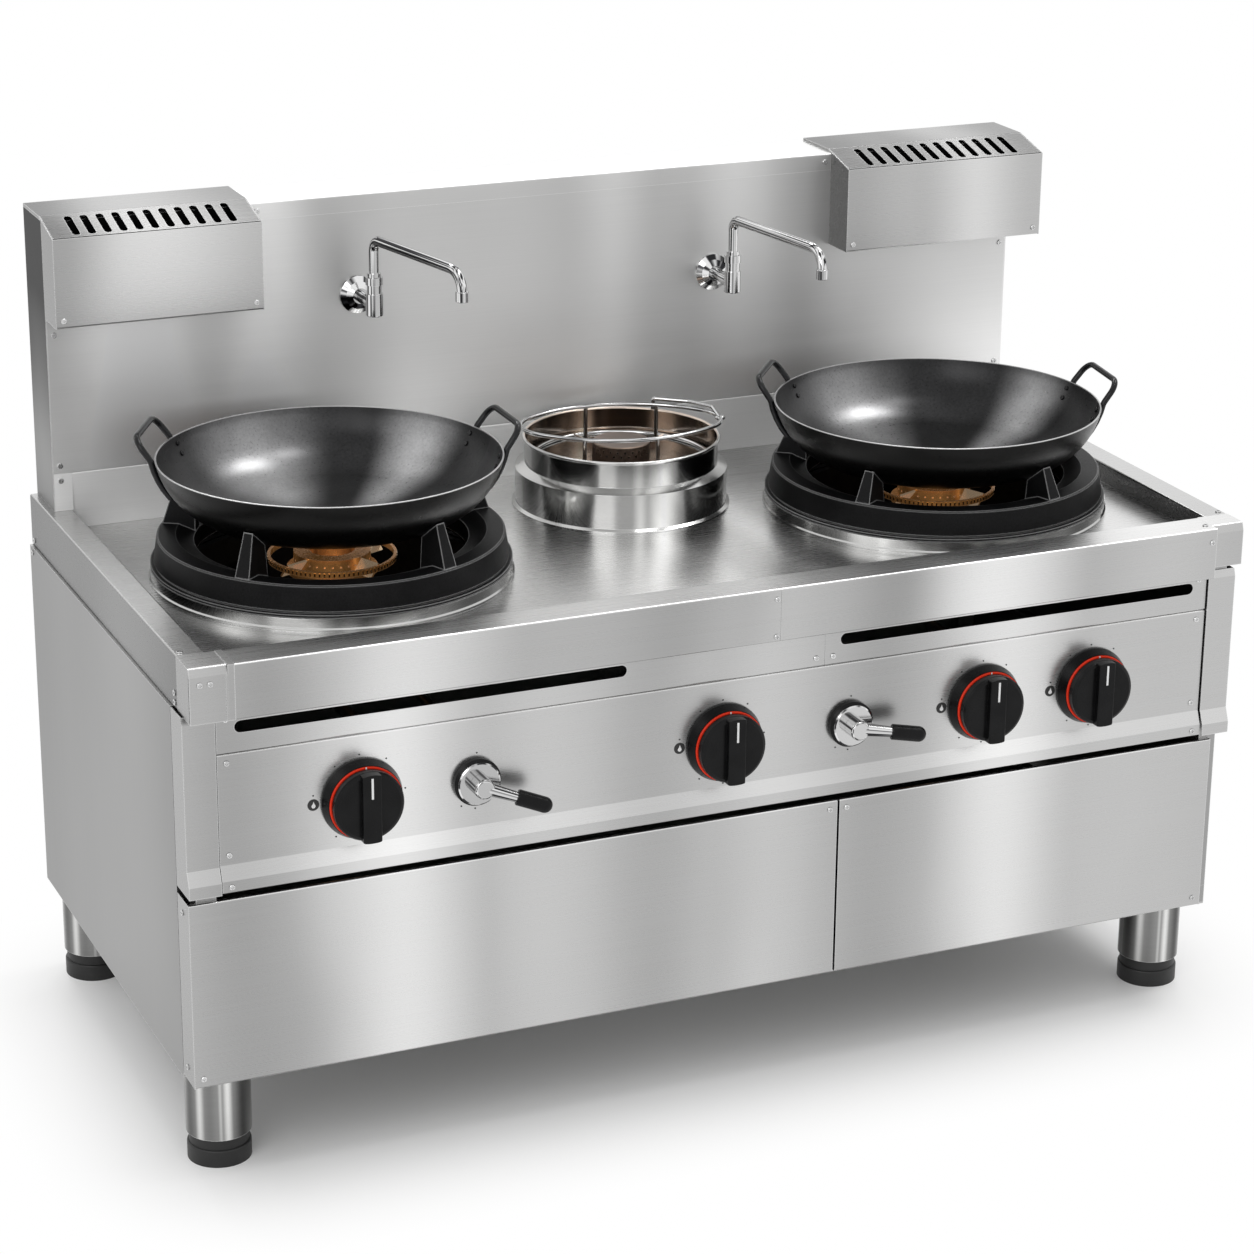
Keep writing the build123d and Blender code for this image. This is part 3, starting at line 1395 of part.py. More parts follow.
def side_screws():
    """Heads on the side rails and the cabinet's sides."""
    heads = []
    across, behind = rail_screw_insets
    for side in (-1, 1):
        heads.append(screw_top(side * (half - across), rail_inner_y + behind, rim_height + touch))
        for rise in side_screw_rises:
            heads.append(screw_side(side, half + touch, rail_inner_y + behind, rail_bottom + rise))
        heads.append(screw_side(side, half + touch, back - side_screw_inset,
                                rail_bottom + side_screw_rises[0]))
        heads.append(screw_side(side, cabinet_half + touch, back - side_screw_inset,
                                rail_bottom - side_screw_rises[0]))
    along, behind = rivet_insets
    for z in (lower_top - along, lower_bottom + along):
        heads.append(screw_side(-1, cabinet_half + touch, side_front_y - behind, z))
    return heads


def splash_screws():
    """Heads on the splash, its strip, its cap and the hoods."""
    heads = []
    inset = splash_screw_inset
    for x in (inset - splash_left, splash_right - inset):
        for rise in (inset, splash_screw_rise, -inset):
            heads.append(screw_front(x, splash_y - touch, strip_top + rise))
    for x in (hood_left[1] + inset, hood_right[0] - inset):
        heads.append(screw_front(x, splash_y - sheet - touch, splash_top - cap_skirt / 2))
    for x0, x1 in (hood_left, hood_right):
        for x in (x0 + inset, x1 - inset):
            heads.append(screw_front(x, hood_y - touch, hood_bottom + inset))
    return heads


def screws():
    """Every visible screw head."""
    return panel_screws() + rail_screws() + side_screws() + splash_screws()


# ================================================================ export
def save(name, solids):
    """Write one node, with the origin moved to the middle of the outer box."""
    placed = [Pos(0, -middle_y, 0) * solid for solid in solids]
    whole = placed[0] if len(placed) == 1 else Compound(children=placed)
    export_step(whole, f"parts/{name}.step")


def main():
    plain = (base_frame, bottom_pan, side_panel_left, side_panel_right, back_panel, worktop,
             rim_rail_left, rim_rail_right, front_rails, corner_caps, vent_aprons, control_panel,
             corner_posts, lower_panel_left, lower_panel_right, leg_tubes, splash_panel,
             splash_strip, splash_cover, flue_hoods, hood_grilles, flue_ducts, fire_chambers,
             seat_rings, burners,
             centre_base_collar, centre_upper_collar, centre_burner, wire_support, control_bezels,
             knob_rings, gas_valves, lever_flanges, tap_bodies, gas_manifold, burner_pipes,
             water_pipes, screws)
    for make in plain:
        save(make.__name__, make())
    for number, side in enumerate(("left", "right")):
        x, y = stations()[number]
        seat_rise = lug_seats[number]
        angles = (handle_angles_left, handle_angles_right)[number]
        save(f"cast_ring_{side}", [cast_ring(x, y, seat_rise, lug_turns[number])])
        save(f"wok_{side}", [wok(x, y, seat_rise)])
        save(f"wok_handles_{side}", wok_handles(x, y, seat_rise, angles))
        save(f"wok_rivets_{side}", wok_rivets(x, y, seat_rise, angles))
    for number, x in enumerate(knob_x, 1):
        save(f"knob_{number}", knob(x))
    for side, x, slope in zip(("left", "right"), lever_x, lever_slopes):
        save(f"lever_{side}", lever(x, slope))
        save(f"lever_grip_{side}", lever_grip_piece(x, slope))
    for side, x, z, angle in zip(("left", "right"), tap_x, tap_z, spout_angles):
        save(f"spout_{side}", spout(x, z, angle))
    names = ("front_left", "front_right", "back_left", "back_right")
    for name, (x, y) in zip(names, leg_places()):
        save(f"foot_{name}", foot(x, y))


main()
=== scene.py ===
"""Looks of the wok range: camera, light, materials and small visible details."""

import math

import bmesh
import bpy
from mathutils import Matrix, Vector


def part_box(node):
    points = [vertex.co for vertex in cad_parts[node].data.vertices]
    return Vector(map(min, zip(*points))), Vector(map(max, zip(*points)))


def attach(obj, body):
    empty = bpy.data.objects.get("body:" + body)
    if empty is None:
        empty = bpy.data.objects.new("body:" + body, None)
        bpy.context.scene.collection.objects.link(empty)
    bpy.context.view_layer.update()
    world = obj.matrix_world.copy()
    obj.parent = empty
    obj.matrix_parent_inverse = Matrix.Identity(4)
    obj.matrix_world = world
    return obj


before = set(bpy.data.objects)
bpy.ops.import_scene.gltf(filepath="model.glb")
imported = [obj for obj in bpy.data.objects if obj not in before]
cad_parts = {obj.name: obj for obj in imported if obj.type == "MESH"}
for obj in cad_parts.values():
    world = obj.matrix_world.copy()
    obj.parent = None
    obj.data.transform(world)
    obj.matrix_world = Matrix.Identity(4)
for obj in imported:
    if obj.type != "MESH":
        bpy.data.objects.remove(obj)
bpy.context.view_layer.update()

# ================================================================ camera, in metres and radians
LENS_PIXELS = 3496.32          # focal length in pixels of the frame
FRAME_WIDTH = 1254.0           # pixels
SENSOR = 36.0                  # millimetres
YAW = -0.414656886
PITCH = 0.3461674
ROLL = 0.00952931
CAMERA_FROM_RAIL = (-2.099628, -4.319977, 2.485617)   # from the front rail's face, on the floor
FAR_CLIP = 60.0

# ================================================================ light and floor
WORLD_LEVEL = 0.62
WHITE = (1.0, 1.0, 1.0, 1.0)
FLOOR_COLOUR = (0.93, 0.93, 0.925, 1.0)
FLOOR_ROUGHNESS = 0.5
FLOOR_REACH = 9.0
FOOTPRINT = (0.7, 0.28, 0.0)   # half sizes of the floor that stays in shadow
WHITE_TO = 0.38                # the floor is plain white this far outside it
DECK_MIDDLE = Vector((0.0, 0.0, 0.8))
# name, direction from the deck's middle, distance, size, power
LAMPS = (
    ("lamp_right", (0.52, 0.10, 0.848), 14.0, 3.6, 360.0),
    ("lamp_back", (-0.04, 0.66, 0.75), 14.0, 3.6, 340.0),
    ("lamp_between", (0.35, 0.56, 0.75), 14.0, 2.4, 130.0),
    ("lamp_top", (0.21, -0.2, 0.96), 14.0, 2.4, 120.0),
    ("fill_front", (-0.62, -0.62, 0.48), 6.0, 3.0, 60.0),
)

front_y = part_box("front_rails")[0].y

# ================================================================ node helpers
NOISE_RANGE = (0.3, 0.7)       # most of a noise's values lie between these


class Graph:
    """Short calls that add nodes to one node tree and link them."""

    def __init__(self, tree):
        self.nodes = tree.nodes
        self.links = tree.links

    def fill(self, sockets, values):
        """Each socket gets its value, or a link where the value is a socket."""
        for socket, value in zip(sockets, values):
            if isinstance(value, bpy.types.NodeSocket):
                self.links.new(value, socket)
            else:
                socket.default_value = value

    def joined(self, kind, first, second=0.0):
        """Two values joined by one sum."""
        node = self.nodes.new("ShaderNodeMath")
        node.operation = kind
        self.fill(node.inputs, (first, second))
        return node.outputs[0]

    def product(self, first, *others):
        for other in others:
            first = self.joined("MULTIPLY", first, other)
        return first

    def ranged(self, value, low, high, to_low, to_high, kind="LINEAR"):
        """Value carried from one range to another and held inside it."""
        carry = self.nodes.new("ShaderNodeMapRange")
        carry.interpolation_type = kind
        carry.inputs["From Min"].default_value = low
        carry.inputs["From Max"].default_value = high
        carry.inputs["To Min"].default_value = to_low
        carry.inputs["To Max"].default_value = to_high
        self.links.new(value, carry.inputs["Value"])
        return carry.outputs["Result"]

    def spread(self, value, to_low, to_high):
        """A noise carried to a range."""
        return self.ranged(value, *NOISE_RANGE, to_low, to_high)

    def blended(self, factor, first, second):
        """Colour between two colours, or sockets that carry them."""
        mix = self.nodes.new("ShaderNodeMix")
        mix.data_type = "RGBA"
        self.links.new(factor, mix.inputs[0])
        for socket, colour in ((mix.inputs[6], first), (mix.inputs[7], second)):
            if isinstance(colour, tuple):
                colour = (*colour, 1.0)
            self.fill((socket,), (colour,))
        return mix.outputs[2]

    def vector_sum(self, kind, first, second):
        """Two vectors joined by one vector sum."""
        node = self.nodes.new("ShaderNodeVectorMath")
        node.operation = kind
        self.fill(node.inputs, (first, second))
        return node

    def length(self, vector):
        return self.vector_sum("LENGTH", vector, (0, 0, 0)).outputs["Value"]

    def scaled(self, colour, gain):
        """Colour times a value."""
        node = self.nodes.new("ShaderNodeVectorMath")
        node.operation = "SCALE"
        node.inputs[0].default_value = colour
        self.links.new(gain, node.inputs["Scale"])
        return node.outputs[0]

    def place(self):
        return self.nodes.new("ShaderNodeTexCoord").outputs["Object"]

    def normal(self):
        return self.nodes.new("ShaderNodeTexCoord").outputs["Normal"]

    def parts_of(self, vector):
        split = self.nodes.new("ShaderNodeSeparateXYZ")
        self.links.new(vector, split.inputs[0])
        return split.outputs

    def direction(self, parts):
        """Direction of a vector as seen from above, in degrees."""
        turn = self.joined("ARCTAN2", parts[1], parts[0])
        return self.joined("MULTIPLY", turn, math.degrees(1.0))

    def noise(self, scale, detail=2.0, rough=0.5, shift=(0, 0, 0), vector=None):
        """Noise in the piece's own coordinates, with a scale for each axis."""
        mapping = self.nodes.new("ShaderNodeMapping")
        mapping.inputs["Scale"].default_value = scale
        mapping.inputs["Location"].default_value = shift
        self.links.new(self.place() if vector is None else vector, mapping.inputs["Vector"])
        node = self.nodes.new("ShaderNodeTexNoise")
        node.inputs["Scale"].default_value = 1.0
        node.inputs["Detail"].default_value = detail
        node.inputs["Roughness"].default_value = rough
        self.links.new(mapping.outputs["Vector"], node.inputs["Vector"])
        return node.outputs["Fac"]

    def even_noise(self, scale, detail=2.0, rough=0.5):
        return self.noise((scale, scale, scale), detail, rough)

    def soft_bands(self, value, bands):
        """Sum of smooth bands, each with a middle, a reach and a gain."""
        total = 0.0
        for middle, reach, gain in bands:
            away = self.joined("ABSOLUTE", self.joined("SUBTRACT", value, middle))
            band = self.ranged(away, 0.0, reach, gain, 0.0, "SMOOTHSTEP")
            total = self.joined("ADD", band, total)
        return total

    def edge_mask(self, radius, sharpness, strength):
        """The strength near sharp edges and 0 on flats, from the bevelled normal."""
        bevel = self.nodes.new("ShaderNodeBevel")
        bevel.samples = 4
        bevel.inputs["Radius"].default_value = radius
        geometry = self.nodes.new("ShaderNodeNewGeometry")
        dot = self.vector_sum("DOT_PRODUCT", bevel.outputs["Normal"], geometry.outputs["Normal"])
        off = self.joined("SUBTRACT", 1.0, dot.outputs["Value"])
        return self.joined("MULTIPLY", self.ranged(off, 0.0, sharpness, 0.0, 1.0), strength)

    def bumped(self, shader, height, strength, distance):
        bump = self.nodes.new("ShaderNodeBump")
        bump.inputs["Strength"].default_value = strength
        bump.inputs["Distance"].default_value = distance
        self.links.new(height, bump.inputs["Height"])
        self.links.new(bump.outputs["Normal"], shader.inputs["Normal"])

    def seen_plainly(self):
        """1 for camera, glossy and transmission rays, 0 for the rays that light things."""
        path = self.nodes.new("ShaderNodeLightPath")
        seen = self.joined("MAXIMUM", path.outputs["Is Camera Ray"], path.outputs["Is Glossy Ray"])
        return self.joined("MAXIMUM", seen, path.outputs["Is Transmission Ray"])


def new_material(name):
    """Material with its graph and its shader."""
    material = bpy.data.materials.new(name)
    material.use_nodes = True
    return material, Graph(material.node_tree), material.node_tree.nodes["Principled BSDF"]


# ================================================================ camera, lamps and floor
def make_camera():
    """Camera at the photograph's place and angle."""
    back = Vector((math.sin(YAW) * math.cos(PITCH), -math.cos(YAW) * math.cos(PITCH), math.sin(PITCH)))
    right = (-back).cross(Vector((0, 0, 1))).normalized()
    up = right.cross(-back)
    right_rolled = math.cos(ROLL) * right + math.sin(ROLL) * up
    up_rolled = math.cos(ROLL) * up - math.sin(ROLL) * right
    data = bpy.data.cameras.new("camera")
    data.sensor_fit = "HORIZONTAL"
    data.sensor_width = SENSOR
    data.lens = LENS_PIXELS / FRAME_WIDTH * SENSOR
    data.clip_end = FAR_CLIP
    camera = bpy.data.objects.new("camera", data)
    bpy.context.scene.collection.objects.link(camera)
    place = Vector(CAMERA_FROM_RAIL) + Vector((0, front_y, 0))
    rows = Matrix((right_rolled, up_rolled, back)).transposed()
    camera.matrix_world = Matrix.Translation(place) @ rows.to_4x4()
    bpy.context.scene.camera = camera


def make_lamps():
    """Soft square lamps aimed at the deck."""
    for name, direction, distance, size, power in LAMPS:
        data = bpy.data.lights.new(name, "AREA")
        data.size = size
        data.energy = power
        lamp = bpy.data.objects.new(name, data)
        bpy.context.scene.collection.objects.link(lamp)
        offset = distance * Vector(direction)
        lamp.location = DECK_MIDDLE + offset
        lamp.rotation_euler = (-offset).to_track_quat("-Z", "Y").to_euler()
        lamp.visible_camera = False


def make_world():
    """Even studio light, seen as plain white."""
    world = bpy.data.worlds.new("studio")
    bpy.context.scene.world = world
    world.use_nodes = True
    graph = Graph(world.node_tree)
    background = graph.nodes["Background"]
    background.inputs["Color"].default_value = WHITE
    strength = graph.ranged(graph.seen_plainly(), 0.0, 1.0, WORLD_LEVEL, 1.0)
    graph.links.new(strength, background.inputs["Strength"])


def floor_material():
    """Pale floor that turns to plain white away from the range."""
    material, graph, shader = new_material("floor")
    shader.inputs["Base Color"].default_value = FLOOR_COLOUR
    shader.inputs["Roughness"].default_value = FLOOR_ROUGHNESS
    away = graph.vector_sum("ABSOLUTE", graph.place(), (0, 0, 0)).outputs[0]
    outside = graph.vector_sum("SUBTRACT", away, FOOTPRINT).outputs[0]
    outside = graph.vector_sum("MAXIMUM", outside, (0, 0, 0)).outputs[0]
    far = graph.ranged(graph.length(outside), 0.0, WHITE_TO, 0.0, 1.0, "SMOOTHSTEP")
    glow = graph.nodes.new("ShaderNodeEmission")
    mix = graph.nodes.new("ShaderNodeMixShader")
    graph.links.new(graph.product(far, graph.seen_plainly()), mix.inputs["Fac"])
    graph.links.new(shader.outputs["BSDF"], mix.inputs[1])
    graph.links.new(glow.outputs["Emission"], mix.inputs[2])
    graph.links.new(mix.outputs["Shader"], graph.nodes["Material Output"].inputs["Surface"])
    return material


def make_floor():
    """Large flat floor under the range."""
    mesh = bpy.data.meshes.new("floor")
    corners = [(-FLOOR_REACH, -FLOOR_REACH, 0), (FLOOR_REACH, -FLOOR_REACH, 0),
               (FLOOR_REACH, FLOOR_REACH, 0), (-FLOOR_REACH, FLOOR_REACH, 0)]
    mesh.from_pydata(corners, [], [(0, 1, 2, 3)])
    floor = bpy.data.objects.new("floor", mesh)
    bpy.context.scene.collection.objects.link(floor)
    floor.data.materials.append(floor_material())


# ================================================================ sheet steel
GRAIN_ALONG_X = (3.0, 620.0, 620.0)
GRAIN_ALONG_Z = (620.0, 620.0, 3.0)
GRAIN_ROUND = (4.0, 4.0, 620.0)
STEEL_TINT = (1.0, 0.998, 0.992)
CLOUD_SCALE = (2.2, 2.2, 1.3)
CLOUD = 0.07                   # broad clouds change the tone by this part
SWAY = 0.025                   # and move the soft light by this many metres
GRAIN_LIGHT = 0.016            # the grain changes the tone by this part
GRAIN_ROUGHNESS = 0.015        # and the roughness by this much
# painted light on tops and painted shade on sides, by the direction a face turns
TOP_LIGHT_AND_SHADE = (0.25, 0.7)         # the normal's Z, from an upright face to a top
SIDE_SHADE = (0.3, 0.95)       # the normal's X, from a front face to a side
# painted highlights on folded sheet edges
SHEET_EDGE_HIGHLIGHT = (0.0024, 0.3, 0.65)      # radius in metres, sharpness, strength
SHEET_EDGE_HIGHLIGHT_COLOUR = (0.93, 0.93, 0.93)
# painted highlights on turned edges
ROUND_EDGE_HIGHLIGHT = (0.0018, 0.3, 0.75)
ROUND_EDGE_HIGHLIGHT_COLOUR = (0.9, 0.9, 0.9)
ROUND_TOP = 0.9                # extra light on level tops
COLLAR_INSIDE = (0.34, 0.29, 0.25)
COLLAR_LIFT = 0.35             # extra light inside a collar
# painted shade inside the hoods and on the wall behind them, seen through the slots
HOOD_SHADE = (0.012, 0.012, 0.012)
HOOD_INNER = 0.52              # both hoods lie farther out than this
HOOD_SHEET = 0.01              # the hoods' own back and bottom sheets lie this near their box
WALL_DEPTH = 0.005             # the wall behind them starts this far before the splash panel

# soft light along the panels, in metres from the middle: place, reach, gain
FRONT_BANDS = ((-0.78, 0.14, -0.24), (-0.55, 0.17, 0.62), (-0.30, 0.12, 0.12), (-0.15, 0.10, -0.12),
               (0.05, 0.10, 0.12), (0.24, 0.14, -0.24), (0.465, 0.15, 0.5), (0.70, 0.16, 0.02))
RAIL_BANDS = ((-0.72, 0.14, -0.25), (-0.54, 0.2, 0.6), (-0.14, 0.12, -0.12), (0.06, 0.08, 0.12),
              (0.24, 0.12, -0.25), (0.42, 0.17, 0.75), (0.72, 0.16, 0.15))
SPLASH_BANDS = ((-0.84, 0.10, -0.25), (-0.68, 0.13, 0.6), (-0.50, 0.11, 0.4), (-0.36, 0.1, -0.1),
                (0.08, 0.09, 0.2), (0.31, 0.09, 0.2), (0.44, 0.08, -0.2))
HOOD_BANDS = ((-0.82, 0.1, -0.3), (-0.68, 0.2, 0.5), (0.5, 0.1, -0.2), (0.72, 0.12, 0.4))
DECK_BANDS = ((-0.8, 0.1, -0.3), (-0.1, 0.16, 0.25), (0.02, 0.05, 0.2), (0.18, 0.06, 0.3),
              (0.3, 0.12, -0.2))
BACK_BANDS = ((-0.6, 0.3, 0.12), (0.0, 0.3, -0.08), (0.5, 0.3, 0.12))
SIDE_BANDS = ((-0.36, 0.2, -0.06), (-0.1, 0.3, 0.12), (0.4, 0.2, -0.12))
# the same by height, up the splash panel
SPLASH_RISE = ((1.25, 0.22, -0.16), (0.87, 0.2, 0.3))
# the same round collars, rings and legs, by the direction of the normal in degrees
ROUND_BANDS = ((-167, 24, -0.55), (-141, 11, 1.5), (-122, 16, -0.25), (-103, 5, 0.9), (-90, 11, 1.9),
               (-60, 26, -0.75), (-28, 8, 0.6), (20, 30, 0.8), (75, 35, -0.4), (120, 22, 0.9),
               (160, 18, -0.4))


def hood_shade_mask(graph, facing):
    """Mask of the painted shade: 1 on the inner front, the floor and the wall behind the hoods, which
    show through the slots.
    """
    low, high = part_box("flue_hoods")
    splash_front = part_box("splash_panel")[0].y
    place = graph.parts_of(graph.place())
    away = graph.joined("ABSOLUTE", place[0])
    wall = graph.product(graph.joined("LESS_THAN", facing[1], -0.5),
                         graph.joined("GREATER_THAN", place[1], splash_front - WALL_DEPTH),
                         graph.joined("GREATER_THAN", away, HOOD_INNER),
                         graph.joined("GREATER_THAN", place[2], low.z + HOOD_SHEET))
    front = graph.product(graph.joined("GREATER_THAN", facing[1], 0.5),
                          graph.joined("LESS_THAN", place[1], high.y - HOOD_SHEET))
    floor = graph.product(graph.joined("GREATER_THAN", facing[2], 0.7),
                          graph.joined("LESS_THAN", place[2], (low.z + high.z) / 2))
    return graph.joined("MAXIMUM", graph.joined("MAXIMUM", front, floor), wall)


def brushed_steel(name, tone, grain, bands, along=0, roughness=0.28, top=0.0, side=0.0,
                  shade_inside=False, rise=(), metallic=1.0):
    """Sheet with fine grain one way, painted light bands, painted light on tops (shade where top is
    below 0), painted shade on sides and painted highlights on folded edges.
    """
    material, graph, shader = new_material(name)
    fine = graph.noise(grain)
    wide = graph.noise(CLOUD_SCALE)
    place = graph.parts_of(graph.place())
    facing = graph.parts_of(graph.normal())
    swayed = graph.joined("ADD", place[along], graph.spread(wide, -SWAY, SWAY))
    gain = graph.spread(wide, 1.0 - CLOUD, 1.0 + CLOUD)
    # painted light and shade: the soft bands, tops, sides and bands by height; the grain is the sheet's
    # own
    for extra in (graph.soft_bands(swayed, bands),
                  graph.ranged(facing[2], *TOP_LIGHT_AND_SHADE, 0.0, top),
                  graph.ranged(graph.joined("ABSOLUTE", facing[0]), *SIDE_SHADE, 0.0, side),
                  graph.soft_bands(place[2], rise),
                  graph.spread(fine, -GRAIN_LIGHT, GRAIN_LIGHT)):
        gain = graph.joined("ADD", gain, extra)
    base = graph.scaled(tuple(tone * part for part in STEEL_TINT), gain)
    # painted highlight on folded edges
    base = graph.blended(graph.edge_mask(*SHEET_EDGE_HIGHLIGHT), base, SHEET_EDGE_HIGHLIGHT_COLOUR)
    # painted shade inside the hoods
    if shade_inside:
        base = graph.blended(hood_shade_mask(graph, facing), base, HOOD_SHADE)
    graph.links.new(base, shader.inputs["Base Color"])
    shader.inputs["Metallic"].default_value = metallic
    graph.links.new(graph.spread(fine, roughness - GRAIN_ROUGHNESS, roughness + GRAIN_ROUGHNESS),
                    shader.inputs["Roughness"])
    graph.bumped(shader, fine, strength=0.007, distance=0.0002)
    return material


def warm_inside(graph, centre, normal, base, gain):
    """Warm dark colour where a collar faces the upright line through its centre."""
    out = graph.vector_sum("SUBTRACT", graph.place(), (*centre, 0.0)).outputs[0]
    level = graph.vector_sum("MULTIPLY", out, (1, 1, 0)).outputs[0]
    towards = graph.vector_sum("DOT_PRODUCT", level, normal).outputs["Value"]
    warm = graph.scaled(COLLAR_INSIDE, graph.joined("ADD", gain, COLLAR_LIFT))
    return graph.blended(graph.ranged(towards, -0.03, 0.0, 1.0, 0.0), base, warm)


def round_steel(name, tone, roughness, centre=None):
    """Turned sheet with painted light that runs up it in bands, painted highlights on its edges, and
    warm inside where a centre is given.
    """
    material, graph, shader = new_material(name)
    fine = graph.noise(GRAIN_ROUND)
    normal = graph.normal()
    facing = graph.parts_of(normal)
    light = graph.soft_bands(graph.direction(facing), ROUND_BANDS)
    upright = graph.ranged(graph.joined("ABSOLUTE", facing[2]), 0.25, 0.75, 1.0, 0.0)
    gain = graph.joined("ADD", graph.product(light, upright), graph.spread(fine, 0.97, 1.03))
    gain = graph.joined("ADD", gain, graph.ranged(facing[2], 0.3, 0.95, 0.0, ROUND_TOP))
    base = graph.scaled((tone, tone, tone * 0.985), gain)
    if centre is not None:
        base = warm_inside(graph, centre, normal, base, gain)
    # painted highlight on the edges
    base = graph.blended(graph.edge_mask(*ROUND_EDGE_HIGHLIGHT), base, ROUND_EDGE_HIGHLIGHT_COLOUR)
    graph.links.new(base, shader.inputs["Base Color"])
    shader.inputs["Metallic"].default_value = 1.0
    shader.inputs["Roughness"].default_value = roughness
    graph.bumped(shader, fine, strength=0.03, distance=0.0002)
    return material


# ================================================================ other materials
BRASS = (0.5, 0.23, 0.07)
# painted light on the burners: highlights on the vanes and edges, a glow and light bands
BRASS_VANE_HIGHLIGHT = (1.0, 0.74, 0.48)
BRASS_EDGE_HIGHLIGHT = (1.0, 0.82, 0.6)
BRASS_PAINTED_GLOW = 0.16
BRASS_LIGHT_BANDS = ((-114, 40, 0.9), (-60, 12, -0.3), (-165, 20, -0.3))   # by direction, in degrees
# painted reflections on chrome: flat fronts, edges and streaks
CHROME_FLAT_REFLECTION = (0.55, 0.55, 0.55)
CHROME_EDGE_HIGHLIGHT = (0.9, 0.9, 0.9)
STREAK_SHIFT = (1.7, 0.4, 2.2)
CHROME_STEPS = (0.42, 0.49, 0.56)     # noise values of its dark, middle and pale tones
# painted highlight rays in the bowls: direction from the middle in degrees, half width, gain
HIGHLIGHT_RAYS_LEFT = ((103, 34, 0.42), (35, 21, 0.62), (140, 40, 0.05))
HIGHLIGHT_RAYS_RIGHT = ((101, 32, 0.4), (20, 19, 0.52), (140, 40, 0.05))
HIGHLIGHT_RAY_COLOUR = (0.95, 0.95, 0.96)
WOK_TONES = ((0.013, 0.013, 0.0135), (0.03, 0.03, 0.031))
WOK_OUTSIDE = (0.006, 0.0058, 0.0056)
WOK_HEAT = (0.11, 0.042, 0.015)
# painted highlight along each wok's rim
WOK_RIM_HIGHLIGHT = (0.62, 0.62, 0.62)
RAYS_BEGIN = (0.05, 0.14)      # distances from the bowl's lowest point, in metres
RAYS_FADE = (0.2, 0.29)
RAYS_AT_RIM = 0.45             # the part of a ray that is left at the rim
HEAT_REACH = (0.06, 0.14)
# painted rim highlight: its depths and strength
RIM_HIGHLIGHT_DEPTH = (0.0016, 0.0004)   # the bright rim begins and is full this far below the top
RIM_HIGHLIGHT_STRENGTH = 0.8
PATCH_SCALE = 14.0             # broad patches in the speckle of cast and rolled metal


def rough_metal(name, colour, light, scale, roughness, metallic, bump, painted_edge=0.4, radius=0.002,
                painted_edge_colour=(0.2, 0.2, 0.2), specular=0.5, sharp=0.35):
    """Cast, rolled or coated metal with fine speckle, and edges painted in another colour: a paler one
    paints highlights, a darker one shade.
    """
    material, graph, shader = new_material(name)
    speckle = graph.even_noise(scale, 4.0, 0.6)
    mixed = graph.product(speckle, graph.even_noise(PATCH_SCALE))
    base = graph.blended(graph.ranged(mixed, 0.15, 0.4, 0.0, 1.0), colour, light)
    # edges painted paler as highlights or darker as shade
    base = graph.blended(graph.edge_mask(radius, sharp, painted_edge), base, painted_edge_colour)
    graph.links.new(base, shader.inputs["Base Color"])
    shader.inputs["Metallic"].default_value = metallic
    shader.inputs["Specular IOR Level"].default_value = specular
    graph.links.new(graph.spread(speckle, roughness - 0.06, roughness + 0.06),
                    shader.inputs["Roughness"])
    graph.bumped(shader, speckle, strength=bump, distance=0.0005)
    return material


def burner_brass(name):
    """Warm cast brass with painted light bands, painted highlights on its slanted vanes and edges, and
    a faint painted glow.
    """
    material, graph, shader = new_material(name)
    speckle = graph.even_noise(90, 4.0, 0.6)
    facing = graph.parts_of(graph.normal())
    # painted highlight on faces of a given slant, the vanes
    slant = graph.joined("ABSOLUTE", facing[2])
    pale = graph.product(graph.ranged(slant, 0.4, 0.55, 0.0, 1.0),
                         graph.ranged(slant, 0.85, 0.95, 1.0, 0.0))
    # painted light bands by direction
    light = graph.soft_bands(graph.direction(facing), BRASS_LIGHT_BANDS)
    base = graph.scaled(BRASS, graph.joined("ADD", light, graph.spread(speckle, 0.6, 1.0)))
    base = graph.blended(pale, base, BRASS_VANE_HIGHLIGHT)
    # painted edge highlight
    base = graph.blended(graph.edge_mask(0.001, 0.35, 0.5), base, BRASS_EDGE_HIGHLIGHT)
    graph.links.new(base, shader.inputs["Base Color"])
    # painted glow
    graph.links.new(base, shader.inputs["Emission Color"])
    shader.inputs["Emission Strength"].default_value = BRASS_PAINTED_GLOW
    shader.inputs["Metallic"].default_value = 1.0
    graph.links.new(graph.spread(speckle, 0.2, 0.32), shader.inputs["Roughness"])
    graph.bumped(shader, speckle, strength=0.05, distance=0.0003)
    return material


def highlight_rays(graph, highlight_ray_bands, out, reach, upness, cloud, speckle):
    """How bright the painted highlight rays inside a bowl are."""
    bright = graph.soft_bands(graph.direction(graph.parts_of(out)), highlight_ray_bands)
    return graph.product(bright,
                         graph.ranged(reach, *RAYS_BEGIN, 0.0, 1.0, "SMOOTHSTEP"),
                         graph.ranged(reach, *RAYS_FADE, 1.0, RAYS_AT_RIM),
                         graph.ranged(upness, 0.1, 0.3, 0.0, 1.0),
                         graph.spread(cloud, 0.8, 1.15),
                         graph.spread(speckle, 0.85, 1.15))


